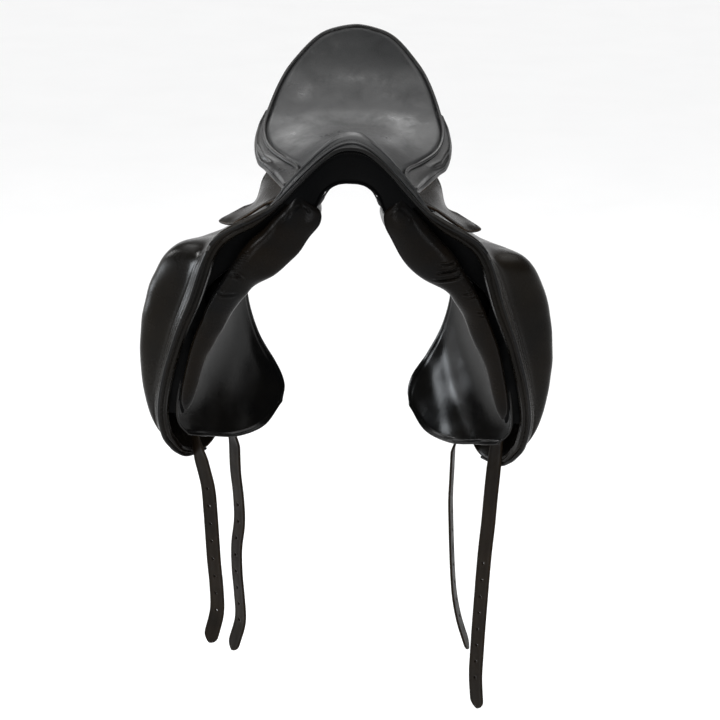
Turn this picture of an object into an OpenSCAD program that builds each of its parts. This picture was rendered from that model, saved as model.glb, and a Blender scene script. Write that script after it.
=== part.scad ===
// Dressage saddle: leather seat, flaps and panels on a laminated tree.
// +Z is up, the pommel points towards -Y and the rider's left side is +X.
// The origin is on the centreline where the channel rests on a rack.
// Each leather piece is a thin shell over a small net of control points.

/* [Saddle size] */
// Length from the pommel's front to the cantle's back
saddle_length = 456; // [420:1:490]
// Seat width across its widest part, inside the welt
seat_width = 274; // [255:1:295]
// Height of the pommel above the channel
pommel_height = 104; // [92:1:116]
// Drop of the flap below the channel
flap_drop = 442; // [400:1:480]

/* [Leather] */
// Thickness of the seat leather, measured straight down
seat_leather = 4; // [2.5:0.5:5]
// Thickness of the flap
flap_leather = 5; // [3.5:0.5:6]
// Thickness of the sweat flap
sweat_leather = 4; // [3:0.5:5]
// Thickness of the skirt and the seat's side leather
skirt_leather = 4; // [3:0.5:5]
// Radius of the piped welts
welt_radius = 3; // [2:0.25:3.5]
// Thickness of the seat foam
foam_depth = 12; // [8:1:12]

/* [Girth billets] */
// Width of a billet
billet_width = 25; // [22:0.5:28]
// Thickness of a billet
billet_thick = 4; // [3:0.5:4.5]
// Diameter of the buckle holes
hole_diameter = 5; // [4:0.25:6]
// Spacing of the buckle holes
hole_pitch = 30; // [25:1:35]
// Number of holes in each billet
hole_count = 8; // [5:1:9]

/* [Stirrup bars] */
// Width of the forged bar that carries the stirrup leather
bar_width = 12; // [10:0.5:13]
// Thickness of the forged bar
bar_thick = 8; // [6:0.5:9]
// Clear slot between the bar and its plate
bar_slot = 19; // [17:0.5:20]
// Length of the hinged catch
catch_length = 13; // [10:0.5:14]

/* [Tree] */
// Thickness of the laminated tree
tree_thick = 9; // [7:0.5:10]
// Width of a side rail
rail_width = 32; // [26:1:34]

/* [Hidden] */
$fn = 40;
long = saddle_length / 456;
wide = seat_width / 274;
tall = pommel_height / 104;
drop = flap_drop / 442;
hole_r = hole_diameter / 2;
leather = [0.13, 0.13, 0.14];
inner_leather = [0.2, 0.19, 0.18];
wood = [0.72, 0.55, 0.36];
steel = [0.6, 0.61, 0.63];
canvas = [0.78, 0.74, 0.64];
foam = [0.86, 0.82, 0.66];

// Fits a control point to the chosen saddle size.
function fit(p) = [p[0] * wide, p[1] * long, p[2] * (p[2] > 0 ? tall : drop)];
function fit_row(row) = [for (p = row) fit(p)];
function fit_net(net) = [for (row = net) fit_row(row)];
function mix(a, b, t) = a + (b - a) * t;
function unit(v) = v / norm(v);
function flip(p) = [-p[0], p[1], p[2]];
// A line from the centre out to the left, made whole by its own mirror image.
function whole(half) =
    fit_row(concat([for (i = [len(half) - 1 : -1 : 1]) flip(half[i])], half));
function backwards(list) = [for (i = [len(list) - 1 : -1 : 0]) list[i]];

// A smooth curve through every control point; u runs from 0 to 1.
function curve(p, u) =
    let (
        n = len(p) - 1,
        k = max(min(floor(u * n), n - 1), 0),
        t = u * n - k,
        b = p[k],
        c = p[k + 1],
        a = k > 0 ? p[k - 1] : 2 * b - c,
        d = k < n - 1 ? p[k + 2] : 2 * c - b
    )
    0.5 * (2 * b + (c - a) * t + (2 * a - 5 * b + 4 * c - d) * t * t
        + (3 * b - a - 3 * c + d) * t * t * t);

// A point on a net of control points, u along its rows and v down them.
function patch(net, u, v) = curve([for (row = net) curve(row, u)], v);

// A grid of points on a net between the given limits.
function grid(net, nu, nv, u0, u1, v0, v1) =
    [for (j = [0 : nv]) [for (i = [0 : nu]) patch(net, mix(u0, u1, i / nu), mix(v0, v1, j / nv))]];

function grid_normal(g, i, j) =
    let (
        nu = len(g[0]) - 1,
        nv = len(g) - 1,
        across = g[j][min(i + 1, nu)] - g[j][max(i - 1, 0)],
        down = g[min(j + 1, nv)][i] - g[max(j - 1, 0)][i]
    )
    unit(cross(across, down));

// The same grid moved along its own normals.
function moved(g, d) =
    [for (j = [0 : len(g) - 1]) [for (i = [0 : len(g[0]) - 1]) g[j][i] + grid_normal(g, i, j) * d]];

function lowered(g, d) = [for (row = g) [for (p = row) p - [0, 0, d]]];

function two(a, b, c, d) = [[a, b, c], [a, c, d]];

// A closed shell between an outer grid and an inner one.
module shell(outer, inner) {
    nu = len(outer[0]) - 1;
    nv = len(outer) - 1;
    m = nu + 1;
    q = m * (nv + 1);
    faces = concat(
        [for (j = [0 : nv - 1], i = [0 : nu - 1])
            each two(j * m + i, (j + 1) * m + i, (j + 1) * m + i + 1, j * m + i + 1)],
        [for (j = [0 : nv - 1], i = [0 : nu - 1])
            each two(q + j * m + i, q + j * m + i + 1, q + (j + 1) * m + i + 1, q + (j + 1) * m + i)],
        [for (i = [0 : nu - 1]) each two(i, i + 1, q + i + 1, q + i)],
        [for (i = [0 : nu - 1]) each two(nv * m + i, q + nv * m + i, q + nv * m + i + 1, nv * m + i + 1)],
        [for (j = [0 : nv - 1]) each two(j * m, q + j * m, q + (j + 1) * m, (j + 1) * m)],
        [for (j = [0 : nv - 1])
            each two(j * m + nu, (j + 1) * m + nu, q + (j + 1) * m + nu, q + j * m + nu)]
    );
    points = concat([for (row = outer) each row], [for (row = inner) each row]);
    polyhedron(points = points, faces = faces, convexity = 8);
}

// A closed solid through rings that all have the same number of points.
module loft(rings) {
    n = len(rings[0]);
    last = len(rings) - 1;
    faces = concat(
        [for (k = [0 : last - 1], i = [0 : n - 1])
            let (j = (i + 1) % n)
            each two(k * n + i, (k + 1) * n + i, (k + 1) * n + j, k * n + j)],
        [[for (i = [0 : n - 1]) i]],
        [[for (i = [n - 1 : -1 : 0]) last * n + i]]
    );
    polyhedron(points = [for (r = rings) each r], faces = faces, convexity = 8);
}

function tangent(path, k) =
    unit(path[min(k + 1, len(path) - 1)] - path[max(k - 1, 0)]);

// A round cord of radius r along a list of points.
module cord(path, r, sides = 7) {
    rings = [for (k = [0 : len(path) - 1])
        let (
            t = tangent(path, k),
            x = unit(cross([0.03, 1, 0.02], t)),
            y = cross(t, x)
        )
        [for (i = [0 : sides - 1]) path[k] + r * (cos(360 * i / sides) * x + sin(360 * i / sides) * y)]];
    loft(rings);
}

// A flat strap along a list of points. turn is the heading of its width:
// 0 lays the width along X and 90 lays it along Y.
module strap(path, turn, widths, thick) {
    rings = [for (k = [0 : len(path) - 1])
        let (
            w = [cos(turn[k]), sin(turn[k]), 0] * widths[k] / 2,
            n = unit(cross(tangent(path, k), w)) * thick / 2
        )
        [path[k] + w + n, path[k] - w + n, path[k] - w - n, path[k] + w - n]];
    loft(rings);
}

module on_left() { children(); }
module on_right() { mirror([1, 0, 0]) children(); }

// Seat stations from pommel to cantle:
// position, half width, height at the welt, height at the centre, roundness of the crown.
seat_stations = [
    [-226, 100, 7, 89, 0.41],
    [-218, 96, 18, 99, 0.46],
    [-208, 91, 27, 104, 0.53],
    [-190, 87, 26, 104, 0.6],
    [-150, 81, 20, 92, 0.6],
    [-105, 78, 18, 74, 0.6],
    [-60, 81, 18, 58, 0.8],
    [-10, 100, 15, 48.5, 1.2],
    [40, 127, 22, 47, 2.5],
    [85, 137, 39, 52, 4],
    [128, 130, 62, 66, 4],
    [162, 115, 96, 88, 4],
    [190, 95, 125, 113, 4],
    [215, 55, 163, 150, 3],
    [227, 8, 177, 175, 3]
];
seat_last = len(seat_stations) - 1;

function station(q) = curve(seat_stations, q / seat_last);
// Fall from the crown to the edge: a small roundness gives straight flanks.
function fall(s, a) = (sqrt(a * a + s * s) - a) / (sqrt(a * a + 1) - a);
// A point on the seat, s from -1 at the right welt to 1 at the left one.
function seat_point(q, s) =
    let (r = station(q))
    fit([s * r[1], r[0], r[2] + (r[3] - r[2]) * (1 - fall(s, r[4]))]);
function seat_grid(q0, q1, s1, nq, ns) =
    [for (j = [0 : nq]) [for (i = [0 : ns]) seat_point(mix(q0, q1, j / nq), s1 * (2 * i / ns - 1))]];
// The same surface between straight edges, half a given width from the centre.
function seat_band(q0, q1, half, nq, ns) =
    [for (j = [0 : nq])
        let (q = mix(q0, q1, j / nq), r = station(q))
        [for (i = [0 : ns]) seat_point(q, min(half / r[1], 0.97) * (2 * i / ns - 1))]];

// The welt line, out past the seat's edge by out and down by down.
function rim(q, out, down) =
    let (
        a = station(max(q - 0.05, 0)),
        b = station(min(q + 0.05, seat_last)),
        r = station(q),
        n = unit([b[0] - a[0], a[1] - b[1]])
    )
    fit([r[1] + n[0] * out, r[0] + n[1] * out, r[2] - down]);

// Straight fold lines of the leather that lifts.
skirt_line = [[86, -190, 6], [134, 5, -6]];
skirt_fold = fit_row(skirt_line);
flap_fold = fit_row([[200, -226, -60], [170, 75, -100]]);
function on_fold(fold, s) = mix(fold[0], fold[1], s);

module seat_cover() {
    color(leather) {
        top = seat_grid(0, seat_last, 1, 28, 12);
        shell(top, lowered(top, seat_leather));
    }
}

module seat_foam() {
    color(foam) {
        top = lowered(seat_grid(1.5, seat_last - 0.5, 0.93, 24, 12), seat_leather + 1.2);
        shell(top, lowered(top, foam_depth - 1.4));
    }
}

module seat_welt() {
    half = [for (q = [2.1 : 0.45 : 13.8]) rim(q, welt_radius + 0.7, -1)];
    path = concat(half, [fit([0, 231.5, 178])], [for (p = backwards(half)) flip(p)]);
    color(leather) cord(path, welt_radius, 6);
}

module strainer_web() {
    color(canvas) {
        top = lowered(seat_band(3.7, 11.6, 24, 14, 2), seat_leather + foam_depth + 3.4);
        shell(top, lowered(top, 1.4));
    }
}

module girth_web(q) {
    color(canvas) {
        top = lowered(seat_band(q, q + 0.8, 74, 2, 12), seat_leather + foam_depth + 0.9);
        shell(top, lowered(top, 1.4));
    }
}

module front_girth_web() { girth_web(5); }
module rear_girth_web() { girth_web(6.5); }

// Tree: the head's arch, its steel plate, two rails and the cantle.
head_arch = [[0, 72], [24, 64], [44, 46], [61, 27], [76, 7], [93, -11.5], [113, -32], [134, -49],
    [146, -65]];

function arch_ring(k, n, points, gap, thick, y0, y1) =
    let (
        u = abs(2 * k / n - 1),
        side = k < n / 2 ? -1 : 1,
        p = curve(points, u),
        t = unit(curve(points, min(u + 0.01, 1)) - curve(points, max(u - 0.01, 0))),
        m = [t[1], -t[0]],
        hi = p + m * (gap - thick / 2),
        lo = p + m * (gap + thick / 2)
    )
    [fit([side * hi[0], y0, hi[1]]), fit([side * lo[0], y0, lo[1]]),
     fit([side * lo[0], y1, lo[1]]), fit([side * hi[0], y1, hi[1]])];

module tree_head() {
    n = 28;
    color(wood) loft([for (k = [0 : n])
        arch_ring(k, n, head_arch, 0, tree_thick, -204, mix(-172, -196, abs(2 * k / n - 1)))]);
}

module gullet_plate() {
    arch = [for (i = [0 : 4]) head_arch[i]];
    color(steel) loft([for (k = [0 : 20]) arch_ring(k, 20, arch, tree_thick / 2 + 2.4, 2.4, -202, -176)]);
}

module rail() {
    line = fit_row([[72, -166, -4], [72, -120, -5], [72, -60, -5], [73, 20, -1],
        [84, 90, 17], [82, 150, 48], [64, 188, 80]]);
    path = [for (k = [0 : 16]) curve(line, k / 16)];
    color(wood) strap(path, [for (p = path) 0], [for (p = path) rail_width], tree_thick);
}

module left_rail() { on_left() rail(); }
module right_rail() { on_right() rail(); }

module tree_cantle() {
    line = fit_row([[-66, 204, 80], [-48, 211, 94], [-26, 216, 104], [0, 218, 108],
        [26, 216, 104], [48, 211, 94], [66, 204, 80]]);
    rings = [for (k = [0 : 16])
        let (p = curve(line, k / 16))
        [p + [0, -4.5, 13], p + [0, -4.5, -13], p + [0, 4.5, -13], p + [0, 4.5, 13]]];
    color(wood) loft(rings);
}

// Facings and lining.
module pommel_facing() {
    outer = whole([[0, -228, 81], [20, -228, 76.5], [40, -228, 62], [62, -228, 40], [91, -228, 6]]);
    inner = whole([[0, -226, 37], [15, -226, 36], [28, -226, 30], [38, -226, 18], [43, -226, -3]]);
    n = 28;
    front = [for (j = [0 : 4]) [for (i = [0 : n])
        mix(curve(inner, i / n), curve(outer, i / n), j / 4) + [0, -1.5 * sin(180 * j / 4), 0]]];
    color(leather) shell(front, moved(front, -3.5));
}

module pommel_welt() {
    line = whole([[0, -230.8, 88.5], [19, -230.8, 85], [38, -230.8, 72], [58, -230.8, 53], [81, -231, 27],
        [102, -232, 5], [127, -233, -13], [160, -233, -30], [183, -231.5, -44], [196, -231, -57]]);
    color(leather) cord([for (k = [0 : 38]) curve(line, k / 38)], welt_radius, 6);
}

// Leather pocket over the tree's point, between the panel and the flap's top.
pocket_net = fit_net([
    [[101, -222, -6], [121, -218, -23], [142, -215, -36], [168, -212, -53], [186, -208, -69]],
    [[100, -222, -7], [118, -216, -23.5], [137, -213, -39], [161, -211, -62], [178, -208, -84]],
    [[99, -221, -7], [116, -214, -23.5], [133, -211, -41], [154, -209, -68], [171, -207, -98]]
]);

module point_pocket() {
    front = grid(pocket_net, 12, 3, 1, 0, 0, 1);
    color(inner_leather) shell(front, moved(front, -2.5));
}

module left_point_pocket() { on_left() point_pocket(); }
module right_point_pocket() { on_right() point_pocket(); }

module cantle_facing() {
    qs = [10.35, 11, 12, 12.8, 13.4, 13.8];
    low = fit_row([[139, 141, 46], [128, 168, 36], [105, 199, 35], [76, 221, 38], [44, 232, 41],
        [18, 237, 42]]);
    upper = concat([for (q = qs) rim(q, 3.6, 6)], [fit([0, 231.5, 171])]);
    lower = concat(low, [fit([0, 238, 42])]);
    middle = [for (i = [0 : 6]) mix(upper[i], lower[i], 0.5) + [0, 1.5 * i, 0]];
    net = [for (row = [upper, middle, lower])
        concat(row, [for (i = [5 : -1 : 0]) flip(row[i])])];
    outer = grid(net, 22, 5, 1, 0, 0, 1);
    color(leather) shell(outer, moved(outer, -skirt_leather));
}

module channel_lining() {
    stations = [
        [-221, 42, 6, 34],
        [-190, 41, -2, 30],
        [-130, 38, -10, 16],
        [-60, 36, -14, 4],
        [0, 35, -14, 0],
        [60, 35, -10, 1],
        [120, 35, -2, 9],
        [180, 34, 12, 24],
        [222, 33, 22, 36]
    ];
    low = [for (j = [0 : 14])
        let (r = curve(stations, j / 14))
        [for (i = [0 : 6])
            let (s = i / 3 - 1)
            fit([s * r[1], r[0], r[3] + (r[2] - r[3]) * pow(abs(s), 2.2)])]];
    color(canvas) shell(lowered(low, -2.5), low);
}

// Side leather under the seat welt, ending on the skirt's fold line.
jockey_edge = [
    [2.3, [91, -201, 9]],
    [3.2, on_fold(skirt_line, 0.05)],
    [4, on_fold(skirt_line, 0.22)],
    [5, on_fold(skirt_line, 0.45)],
    [6, on_fold(skirt_line, 0.68)],
    [6.7, on_fold(skirt_line, 0.85)],
    [7.2, [134, 5, -6]],
    [7.7, [145, 32, -4]],
    [8.4, [152, 62, 9]],
    [9, [153, 86, 23]],
    [9.6, [148, 112, 40]],
    [10.1, [139.5, 131, 56]]
];

module jockey() {
    upper = [for (e = jockey_edge) rim(e[0], 3.6, 6)];
    lower = [for (e = jockey_edge) fit(e[1])];
    middle = [for (i = [0 : len(upper) - 1]) mix(upper[i], lower[i], 0.5) + [2.5, 0, 2.5]];
    outer = grid([upper, middle, lower], 24, 4, 1, 0, 0, 1);
    color(leather) shell(outer, moved(outer, -skirt_leather));
}

module left_jockey() { on_left() jockey(); }
module right_jockey() { on_right() jockey(); }

// Gusset that closes the gap between the seat's side and the panel.
gusset_net = fit_net([
    [[116, -20, -10], [128, 12, -10], [138, 45, -3], [143, 74, 12], [139, 104, 32], [130, 132, 47]],
    [[112, -20, -24], [121, 12, -22], [130, 45, -14], [133, 74, 0], [129, 104, 20], [123, 134, 37]],
    [[107, -20, -36], [113, 12, -34], [119, 45, -26], [121, 74, -13], [118, 104, 7], [114, 136, 26]]
]);

module gusset() {
    outer = grid(gusset_net, 12, 3, 1, 0, 0, 1);
    color(inner_leather) shell(outer, moved(outer, -2.5));
}

module left_gusset() { on_left() gusset(); }
module right_gusset() { on_right() gusset(); }

// The skirt stands out like a wing over the stirrup bar.
skirt_net = concat(
    [[for (s = [0.09, 0.27, 0.5, 0.74, 0.9]) on_fold(skirt_fold, s)]],
    fit_net([
        [[105, -174, -3], [118, -136, -8], [127, -100, -11], [132, -66, -13], [135, -34, -13]],
        [[125, -162, -14], [135, -131, -24], [141, -100, -31], [143, -78, -36], [143, -58, -38]],
        [[148, -150, -33], [157, -128, -40], [162, -104, -44], [163, -88, -45], [161, -74, -44]],
        [[170, -140, -50], [182, -122, -56], [193, -104, -58], [192, -92, -58], [185, -80, -57]]
    ])
);

module skirt() {
    outer = grid(skirt_net, 12, 9, 1, 0, 0.014, 1);
    color(leather) shell(outer, moved(outer, -skirt_leather));
}

module left_skirt() { on_left() skirt(); }
module right_skirt() { on_right() skirt(); }

// The flap's fixed top, then the flap that lifts about the fold line.
flap_top_net = concat(
    fit_net([
        [[110, -226, -2], [110, -166, -24], [102, -100, -39], [116, -3, -42], [138, 75, -60]],
        [[127, -228, -12], [126, -166, -32], [127, -100, -50], [132, -3, -58], [147, 75, -77]],
        [[160, -228, -28], [160, -166, -48], [158, -100, -64], [153, -3, -77], [157, 75, -90]]
    ]),
    [[for (s = [0, 0.2, 0.42, 0.74, 1]) on_fold(flap_fold, s)]]
);

module flap_top() {
    outer = grid(flap_top_net, 14, 8, 1, 0, 0, 0.988);
    color(leather) shell(outer, moved(outer, -flap_leather));
}

module left_flap_top() { on_left() flap_top(); }
module right_flap_top() { on_right() flap_top(); }

flap_net = concat(
    [[for (s = [0, 0.1, 0.3, 0.6, 1]) on_fold(flap_fold, s)]],
    fit_net([
        [[214, -219, -96], [222, -196, -92], [256, -140, -88], [228, -40, -108], [184, 79, -126]],
        [[228, -210, -142], [238, -190, -138], [288, -139, -134], [250, -36, -156], [187, 83, -178]],
        [[251, -197, -205], [261, -176, -203], [305, -137, -200], [262, -30, -216], [190, 84, -238]],
        [[272, -177, -280], [280, -158, -279], [309, -128, -276], [262, -30, -286], [189, 80, -296]],
        [[281, -154, -342], [287, -140, -343], [300, -115, -342], [252, -32, -348], [187, 60, -346]],
        [[276, -138, -386], [279, -128, -388], [281, -108, -390], [238, -42, -398], [193, 26, -390]],
        [[266, -128, -408], [257, -116, -422], [243, -92, -437], [219, -52, -442], [203, -14, -430]]
    ])
);

module flap() {
    outer = grid(flap_net, 15, 17, 1, 0, 0.009, 1);
    color(leather) shell(outer, moved(outer, -flap_leather));
}

module left_flap() { on_left() flap(); }
module right_flap() { on_right() flap(); }

// Piping along the flap's front edge.
module flap_welt() {
    edge = [for (row = flap_net) row[0] + [-2, -4.4, -1.5]];
    path = [for (k = [0 : 20]) curve(edge, mix(0.02, 1, k / 20))];
    color(leather) cord(path, welt_radius - 0.4, 6);
}

module left_flap_welt() { on_left() flap_welt(); }
module right_flap_welt() { on_right() flap_welt(); }

sweat_net = fit_net([
    [[178, -186, -112], [164, -140, -101], [151, -70, -93], [143, -5, -88], [141, 45, -90]],
    [[202, -182, -165], [196, -140, -158], [182, -70, -152], [167, -5, -150], [156, 45, -150]],
    [[225, -173, -225], [219, -134, -222], [205, -70, -218], [185, -5, -215], [163, 42, -212]],
    [[240, -162, -290], [233, -128, -288], [214, -70, -285], [180, -3, -288], [146, 53, -288]],
    [[245, -152, -332], [236, -120, -338], [208, -70, -345], [165, -5, -350], [121, 60, -336]],
    [[240, -144, -355], [228, -118, -374], [194, -76, -396], [148, -15, -402], [104, 52, -372]],
    [[229, -136, -371], [208, -106, -395], [172, -62, -419], [133, -10, -421], [105, 32, -396]]
]);

module sweat_flap() {
    outer = grid(sweat_net, 12, 14, 1, 0, 0, 1);
    color(inner_leather) shell(outer, moved(outer, -sweat_leather));
}

module left_sweat_flap() { on_left() sweat_flap(); }
module right_sweat_flap() { on_right() sweat_flap(); }

// The knee block swells from the sweat flap to the flap's inner face.
module knee_block() {
    nu = 10;
    nv = 12;
    base = moved(grid(sweat_net, nu, nv, 0.27, 0.07, 0.08, 0.8), 1.4);
    face = moved(grid(flap_net, nu, nv, 0.35, 0.15, 0.13, 0.84), -flap_leather - 3.5);
    lip = moved(base, 5);
    outer = [for (j = [0 : nv]) [for (i = [0 : nu])
        let (
            a = 1 - pow(2 * i / nu - 1, 4),
            b = 1 - pow(2 * j / nv - 1, 4)
        )
        mix(lip[j][i], face[j][i], pow(a * b, 0.6))]];
    color(foam) shell(outer, base);
}

module left_knee_block() { on_left() knee_block(); }
module right_knee_block() { on_right() knee_block(); }

// Panel stations from front to back:
// position, centre across, centre height, half length, half thickness, tilt.
panel_stations = [
    [-242, 111, -61, 44, 8, 48],
    [-238, 110, -60, 64, 19, 48],
    [-228, 110, -60, 74, 26, 48],
    [-214, 110, -61, 75, 25, 48],
    [-203, 106, -66, 76, 19, 48],
    [-172, 101, -70, 76, 20, 48],
    [-120, 97, -76, 69, 22, 45],
    [-60, 91, -66, 54, 20, 36],
    [0, 86, -56, 42, 17, 29],
    [60, 83, -44, 42, 20, 25],
    [110, 82, -30, 44, 25, 22],
    [160, 79, -12, 44, 28, 19],
    [205, 71, 7, 35, 26, 14],
    [228, 66, 16, 25, 20, 12],
    [238, 64, 20, 13, 10, 10]
];

function blunt(c) = sign(c) * pow(abs(c), 0.68);

module panel() {
    n = 18;
    rings = [for (k = [0 : 28])
        let (r = curve(panel_stations, k / 28))
        [for (i = [0 : n - 1])
            let (
                p = blunt(cos(360 * i / n)) * r[4],
                q = blunt(sin(360 * i / n)) * r[3]
            )
            fit([r[1] + q * cos(r[5]) + p * sin(r[5]), r[0], r[2] - q * sin(r[5]) + p * cos(r[5])])]];
    color(inner_leather) loft(rings);
}

module left_panel() { on_left() panel(); }
module right_panel() { on_right() panel(); }

// Tapering roll at the front of the sweat flap: centre, then half sizes.
roll_stations = [
    [162, -213, -124, 12, 8],
    [166, -212, -129, 19, 13],
    [176, -210, -147, 21.5, 14.5],
    [188, -206, -170, 20.5, 14],
    [203, -199, -203, 18.5, 13],
    [219, -189, -250, 14.5, 11],
    [230, -180, -292, 10.5, 8.5],
    [236, -174, -314, 7, 6],
    [238, -171, -324, 2.5, 2.5]
];

module front_roll() {
    n = 12;
    rings = [for (k = [16 : -1 : 0])
        let (r = curve(roll_stations, k / 16))
        [for (i = [0 : n - 1])
            fit([r[0] + r[3] * cos(360 * i / n), r[1] + r[4] * sin(360 * i / n), r[2]])]];
    color(inner_leather) loft(rings);
}

module left_front_roll() { on_left() front_roll(); }
module right_front_roll() { on_right() front_roll(); }

// Stirrup bar: a forged hook open at the back, on a plate riveted to the rail.
bar_plate_x = 89 * wide;
bar_low = -28.5;
bar_front = -128 * long;
bar_back = -50 * long;
bar_inner = bar_plate_x + 4 + bar_slot;

module stirrup_bar() {
    color(steel) difference() {
        union() {
            translate([0, 0, bar_low]) linear_extrude(height = bar_thick) difference() {
                offset(r = 3) offset(delta = -3) polygon([
                    [bar_plate_x, bar_front],
                    [bar_inner + bar_width, bar_front],
                    [bar_inner + bar_width, bar_back],
                    [bar_inner, bar_back],
                    [bar_inner, bar_front + 12],
                    [bar_plate_x + 4, bar_front + 12],
                    [bar_plate_x, bar_front + 12]
                ]);
                translate([bar_inner + bar_width / 2 - 3.2, bar_back - 9]) square([6.4, 20]);
            }
            translate([bar_plate_x, bar_front, bar_low])
                cube([4, bar_back - bar_front - 14, 27]);
        }
        for (y = [bar_front + 16, bar_back - 26])
            translate([bar_plate_x - 1, y, -5]) rotate([0, 90, 0]) cylinder(h = 6, r = 2.6);
        translate([bar_inner - 1, bar_back - 4.5, bar_low + bar_thick / 2])
            rotate([0, 90, 0]) cylinder(h = bar_width + 2, r = 1.5);
    }
}

module left_stirrup_bar() { on_left() stirrup_bar(); }
module right_stirrup_bar() { on_right() stirrup_bar(); }

module bar_rivets() {
    color(steel) for (y = [bar_front + 16, bar_back - 26])
        translate([bar_plate_x + 0.2, y, -5]) rotate([0, 90, 0]) {
            cylinder(h = 4.1, r = 2.55);
            translate([0, 0, 4.1]) cylinder(h = 2, r1 = 4.6, r2 = 3);
        }
}

module left_bar_rivets() { on_left() bar_rivets(); }
module right_bar_rivets() { on_right() bar_rivets(); }

// The catch swings up about its pin to close the bar's open end.
module bar_catch() {
    mid = bar_inner + bar_width / 2;
    color(steel) translate([mid - 2.9, bar_back - 4.5, bar_low + bar_thick / 2])
        rotate([90, 0, 90]) linear_extrude(height = 5.8) difference() {
            offset(r = 1) offset(delta = -1) union() {
                circle(r = 3);
                translate([0, -3]) square([catch_length - 2, 5.4]);
                translate([catch_length - 6, -3]) square([5, 6.6]);
            }
            circle(r = 1.55);
        }
}

module left_bar_catch() { on_left() bar_catch(); }
module right_bar_catch() { on_right() bar_catch(); }

module catch_pin() {
    color(steel) translate([bar_inner + 0.3, bar_back - 4.5, bar_low + bar_thick / 2])
        rotate([0, 90, 0]) cylinder(h = bar_width - 0.6, r = 1.48);
}

module left_catch_pin() { on_left() catch_pin(); }
module right_catch_pin() { on_right() catch_pin(); }

// Billets: a fixed root between sweat flap and flap, then the free strap.
// Each free strap is listed as its fold point, then points below it.
root_front_r = [[122, -94, -60], [150, -94, -78], [178, -95, -108], [200, -95, -150], [221, -95, -218],
    [234, -95, -286], [236, -96, -343], [230, -98, -400], [219.5, -100, -445]];
root_front_l = [[122, -94, -60], [150, -94, -78], [178, -95, -108], [200, -95, -150], [221, -95, -218],
    [234, -95, -286], [237, -96, -343], [236, -98, -400], [233.2, -100, -445]];
root_rear_r = [[133, -24, -71], [152, -25, -90], [168, -26, -118], [183, -26, -152], [202, -27, -216],
    [206, -28, -287], [199, -29, -348], [184, -30, -400], [173, -30, -445]];
root_rear_l = [[133, -24, -71], [152, -25, -90], [168, -25, -118], [183, -25, -152], [202, -24, -216],
    [206, -23, -287], [200, -22, -348], [186, -21, -400], [173.3, -20, -445]];
free_front_r = [[219, -100, -447], [209, -100, -490], [205, -100, -533], [202, -100, -576],
    [199, -100, -619], [195, -100, -662], [194, -100, -705], [203, -100, -748]];
free_rear_r = [[173, -30, -447], [171, -30, -491], [166, -30, -535], [164, -30, -579], [168, -30, -623],
    [167, -30, -667], [163, -30, -711], [161, -30, -755], [171, -30, -798]];
free_front_l = [[233, -100, -447], [231, -100, -492], [229.5, -100, -537], [227, -100, -582],
    [225.5, -100, -627], [224.5, -100, -672], [223.5, -100, -717], [223, -100, -762], [223, -100, -807],
    [227, -100, -852]];
free_rear_l = [[173, -20, -447], [173, -20, -490], [173, -20, -532], [175.5, -20, -575],
    [178.5, -20, -618], [182, -20, -660], [187, -20, -703], [196, -20, -745], [210, -20, -788]];

module billet_root(points, facing) {
    n = 18;
    line = fit_row(points);
    path = [for (k = [0 : n]) curve(line, k / n)];
    turn = [for (k = [0 : n]) mix(108, facing, pow(max(k / n - 0.6, 0) / 0.4, 1.4))];
    color(leather) strap(path, turn, [for (p = path) billet_width], billet_thick);
}

// Straight lengths of one hole pitch keep the leather flat around each hole.
module billet(points, facing) {
    line = fit_row(points);
    n = max(round((line[0][2] - line[len(line) - 1][2]) / hole_pitch), 6);
    path = [for (k = [0 : n]) curve(line, k / n)];
    tip = path[n] + unit(path[n] - path[n - 1]) * 10;
    widths = concat([for (k = [0 : n - 1]) billet_width], [billet_width - 3, 7]);
    turn = [for (k = [0 : n + 1]) facing];
    color(leather) difference() {
        strap(concat(path, [tip]), turn, widths, billet_thick);
        for (k = [max(n - hole_count, 1) : n - 1]) {
            a = path[k - 1];
            b = path[k];
            across = [cos(facing), sin(facing), 0];
            face = unit(cross(unit(b - a), across));
            translate((a + b) / 2)
                rotate([0, acos(face[2]), atan2(face[1], face[0])])
                    cylinder(h = 20, r = hole_r, center = true, $fn = 24);
        }
    }
}

module right_front_billet_root() { on_right() billet_root(root_front_r, 35); }
module right_rear_billet_root() { on_right() billet_root(root_rear_r, 50); }
module left_front_billet_root() { on_left() billet_root(root_front_l, 135); }
module left_rear_billet_root() { on_left() billet_root(root_rear_l, 78); }
module right_front_billet() { on_right() billet(free_front_r, 35); }
module right_rear_billet() { on_right() billet(free_rear_r, 50); }
module left_front_billet() { on_left() billet(free_front_l, 135); }
module left_rear_billet() { on_left() billet(free_rear_l, 78); }

tree_head();
gullet_plate();
left_rail();
right_rail();
tree_cantle();
strainer_web();
front_girth_web();
rear_girth_web();
seat_foam();
seat_cover();
seat_welt();
pommel_welt();
pommel_facing();
left_point_pocket();
right_point_pocket();
cantle_facing();
channel_lining();
left_jockey();
right_jockey();
left_gusset();
right_gusset();
left_skirt();
right_skirt();
left_flap_top();
right_flap_top();
left_flap();
right_flap();
left_flap_welt();
right_flap_welt();
left_knee_block();
right_knee_block();
left_sweat_flap();
right_sweat_flap();
left_panel();
right_panel();
left_front_roll();
right_front_roll();
left_stirrup_bar();
right_stirrup_bar();
left_bar_rivets();
right_bar_rivets();
left_bar_catch();
right_bar_catch();
left_catch_pin();
right_catch_pin();
left_front_billet_root();
left_rear_billet_root();
right_front_billet_root();
right_rear_billet_root();
left_front_billet();
left_rear_billet();
right_front_billet();
right_rear_billet();
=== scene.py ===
import math

import bmesh
import bpy
import numpy as np
from mathutils import Matrix, Vector


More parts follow.
